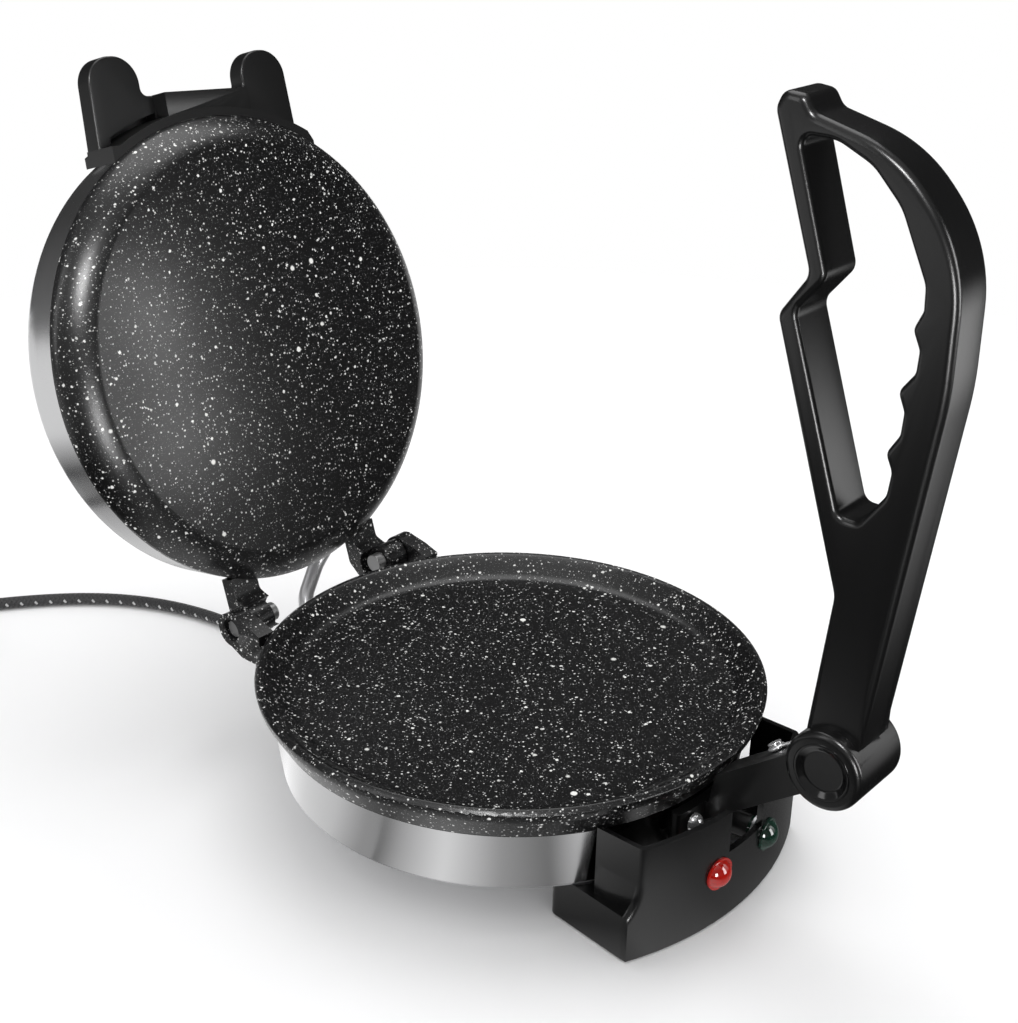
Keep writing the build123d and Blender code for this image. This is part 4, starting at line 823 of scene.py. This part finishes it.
def lying_card():
    """Studio card lying on the worktop: a ring of tones round the object, and pale areas beyond."""
    material, tree = card_material("studio card")
    parts = split(tree, object_place(tree))
    distance = distance_from_middle(tree, parts)
    near = math_node(tree, "SUBTRACT", 1.0, ramp(tree, distance, *RING_END))
    close = math_node(tree, "MULTIPLY", ring_tones(tree, parts), near)
    left_back = math_node(tree, "MULTIPLY_ADD", parts["X"], FAR_BACK_SLANT, parts["Y"])
    far_back = math_node(tree, "MULTIPLY", ramp(tree, left_back, *FAR_BACK), FAR_BACK_TONE)
    behind = math_node(tree, "MULTIPLY", ramp(tree, parts["X"], *BEHIND_ACROSS),
                       ramp(tree, parts["Y"], *BEHIND_ALONG))
    back = math_node(tree, "MAXIMUM", far_back, math_node(tree, "MULTIPLY", behind, BEHIND_TONE))
    to_front = math_node(tree, "MULTIPLY", parts["Y"], -1.0)
    far_right = math_node(tree, "MULTIPLY_ADD", parts["X"], FRONT_SLANT, to_front)
    front = math_node(tree, "MULTIPLY", ramp(tree, far_right, *FRONT), FRONT_TONE)
    total = math_node(tree, "ADD", close, math_node(tree, "ADD", front, back))
    give_off(tree, math_node(tree, "ADD", total, DARK_TONE))
    card = flat_disc("studio card", LYING_CARD_RADIUS, FLOOR_LEVEL + LYING_CARD_LIFT, material)
    show_in_reflections_alone(card)


def side_card():
    """Upright pale card off the lever's outer side, brightest a little under its top."""
    material, tree = card_material("side card")
    height = split(tree, object_place(tree))["Z"]
    rise = ramp(tree, height, *SIDE_CARD_RISE)
    fall = ramp(tree, height, *SIDE_CARD_FALL)
    give_off(tree, math_node(tree, "MULTIPLY", math_node(tree, "MULTIPLY", rise, fall), SIDE_CARD_TONE))
    upright = Matrix.Rotation(math.pi / 2, 4, "X") @ Matrix.Diagonal(SIDE_CARD_SIZE)
    mesh = bmesh.new()
    bmesh.ops.create_grid(mesh, x_segments=1, y_segments=1, size=0.5,
                          matrix=Matrix.Translation(SIDE_CARD_PLACE) @ upright)
    card = made("side card", mesh, material)
    show_in_reflections_alone(card)


# ------------------------------------------------------------------ lights, surroundings and camera

# name, place, the point that it faces, width and height in metres, power in watts, shows in gloss alone
LAMPS = (
    ("over", (0.40, 0.35, 1.5), (0, 0.05, 0), 1.1, 1.1, 9, False),
    ("left", (-1.2, 0.5, 0.8), (0, 0, 0.1), 0.35, 1.0, 3, True),
    ("upper left", (-0.82, -0.47, 1.22), (0, 0.1, 0.15), 0.30, 0.30, 14, True),
    ("edges", (-0.80, -0.90, 0.06), (0, -0.1, 0.15), 0.30, 0.55, 11, True),
    ("lid glow", (0.34, -1.25, 0.40), (0, 0.2, 0.14), 0.4, 0.9, 10, True),
)

WHITE = (1, 1, 1, 1)
SEEN_STRENGTH = 1.0
FILL_STRENGTH = 0.95
# the room in reflections is dark, and lighter to the left and overhead, by a direction's X and Z
ROOM_DARK = 0.03
ROOM_LEFT = (0.1, -0.95)
ROOM_LEFT_STRENGTH = 0.28
ROOM_ABOVE = (0.62, 0.90)
ROOM_ABOVE_STRENGTH = 0.45

VIEW_AZIMUTH = math.radians(-50.05)
VIEW_ELEVATION = math.radians(24.91)
VIEW_ROLL = math.radians(1.22)
CAMERA_PLACE = (-0.5432, -0.4515, 0.4213)
SENSOR_WIDTH = 36
FOCAL_LENGTH = 57.42


def soft_light(name, place, target, width, height, power, gloss_only):
    """Rectangular soft light that faces a point."""
    data = bpy.data.lights.new(name, "AREA")
    data.shape = "RECTANGLE"
    data.size = width
    data.size_y = height
    data.energy = power
    lamp = bpy.data.objects.new(name, data)
    lamp.location = place
    lamp.rotation_mode = "QUATERNION"
    lamp.rotation_quaternion = (Vector(place) - Vector(target)).to_track_quat("Z", "Y")
    lamp.visible_diffuse = not gloss_only
    bpy.context.collection.objects.link(lamp)


def surroundings():
    """White all round for the camera, soft fill for matt surfaces, and a dark room in reflections."""
    world = bpy.data.worlds.new("studio")
    bpy.context.scene.world = world
    world.use_nodes = True
    tree = world.node_tree
    tree.nodes.clear()
    seen = add(tree, "ShaderNodeBackground", {"Color": WHITE, "Strength": SEEN_STRENGTH})
    fill = add(tree, "ShaderNodeBackground", {"Color": WHITE, "Strength": FILL_STRENGTH})
    way = split(tree, add(tree, "ShaderNodeTexCoord").outputs["Generated"])
    left = ramp(tree, way["X"], *ROOM_LEFT)
    above = ramp(tree, way["Z"], *ROOM_ABOVE)
    sides = math_node(tree, "MULTIPLY_ADD", left, ROOM_LEFT_STRENGTH, ROOM_DARK)
    room_strength = math_node(tree, "MULTIPLY_ADD", above, ROOM_ABOVE_STRENGTH, sides)
    room = add(tree, "ShaderNodeBackground", {"Color": WHITE}, {"Strength": room_strength})
    path = add(tree, "ShaderNodeLightPath")
    glossy = add(tree, "ShaderNodeMixShader", None,
                 {0: path.outputs["Is Glossy Ray"], 1: fill.outputs[0], 2: room.outputs[0]})
    mix = add(tree, "ShaderNodeMixShader", None,
              {0: path.outputs["Is Camera Ray"], 1: glossy.outputs[0], 2: seen.outputs[0]})
    add(tree, "ShaderNodeOutputWorld", None, {0: mix.outputs[0]})


def camera():
    """Camera at the viewing angle."""
    data = bpy.data.cameras.new("camera")
    data.sensor_width = SENSOR_WIDTH
    data.lens = FOCAL_LENGTH
    data.clip_start = 0.01
    holder = bpy.data.objects.new("camera", data)
    away = Vector((math.sin(VIEW_AZIMUTH) * math.cos(VIEW_ELEVATION),
                   -math.cos(VIEW_AZIMUTH) * math.cos(VIEW_ELEVATION), math.sin(VIEW_ELEVATION)))
    holder.rotation_mode = "QUATERNION"
    holder.rotation_quaternion = away.to_track_quat("Z", "Y") @ Quaternion((0, 0, 1), VIEW_ROLL)
    holder.location = CAMERA_PLACE
    bpy.context.collection.objects.link(holder)
    bpy.context.scene.camera = holder


pale_floor()
lying_card()
surroundings()
side_card()
for lamp_values in LAMPS:
    soft_light(*lamp_values)
camera()
bpy.context.scene.view_settings.view_transform = "Standard"
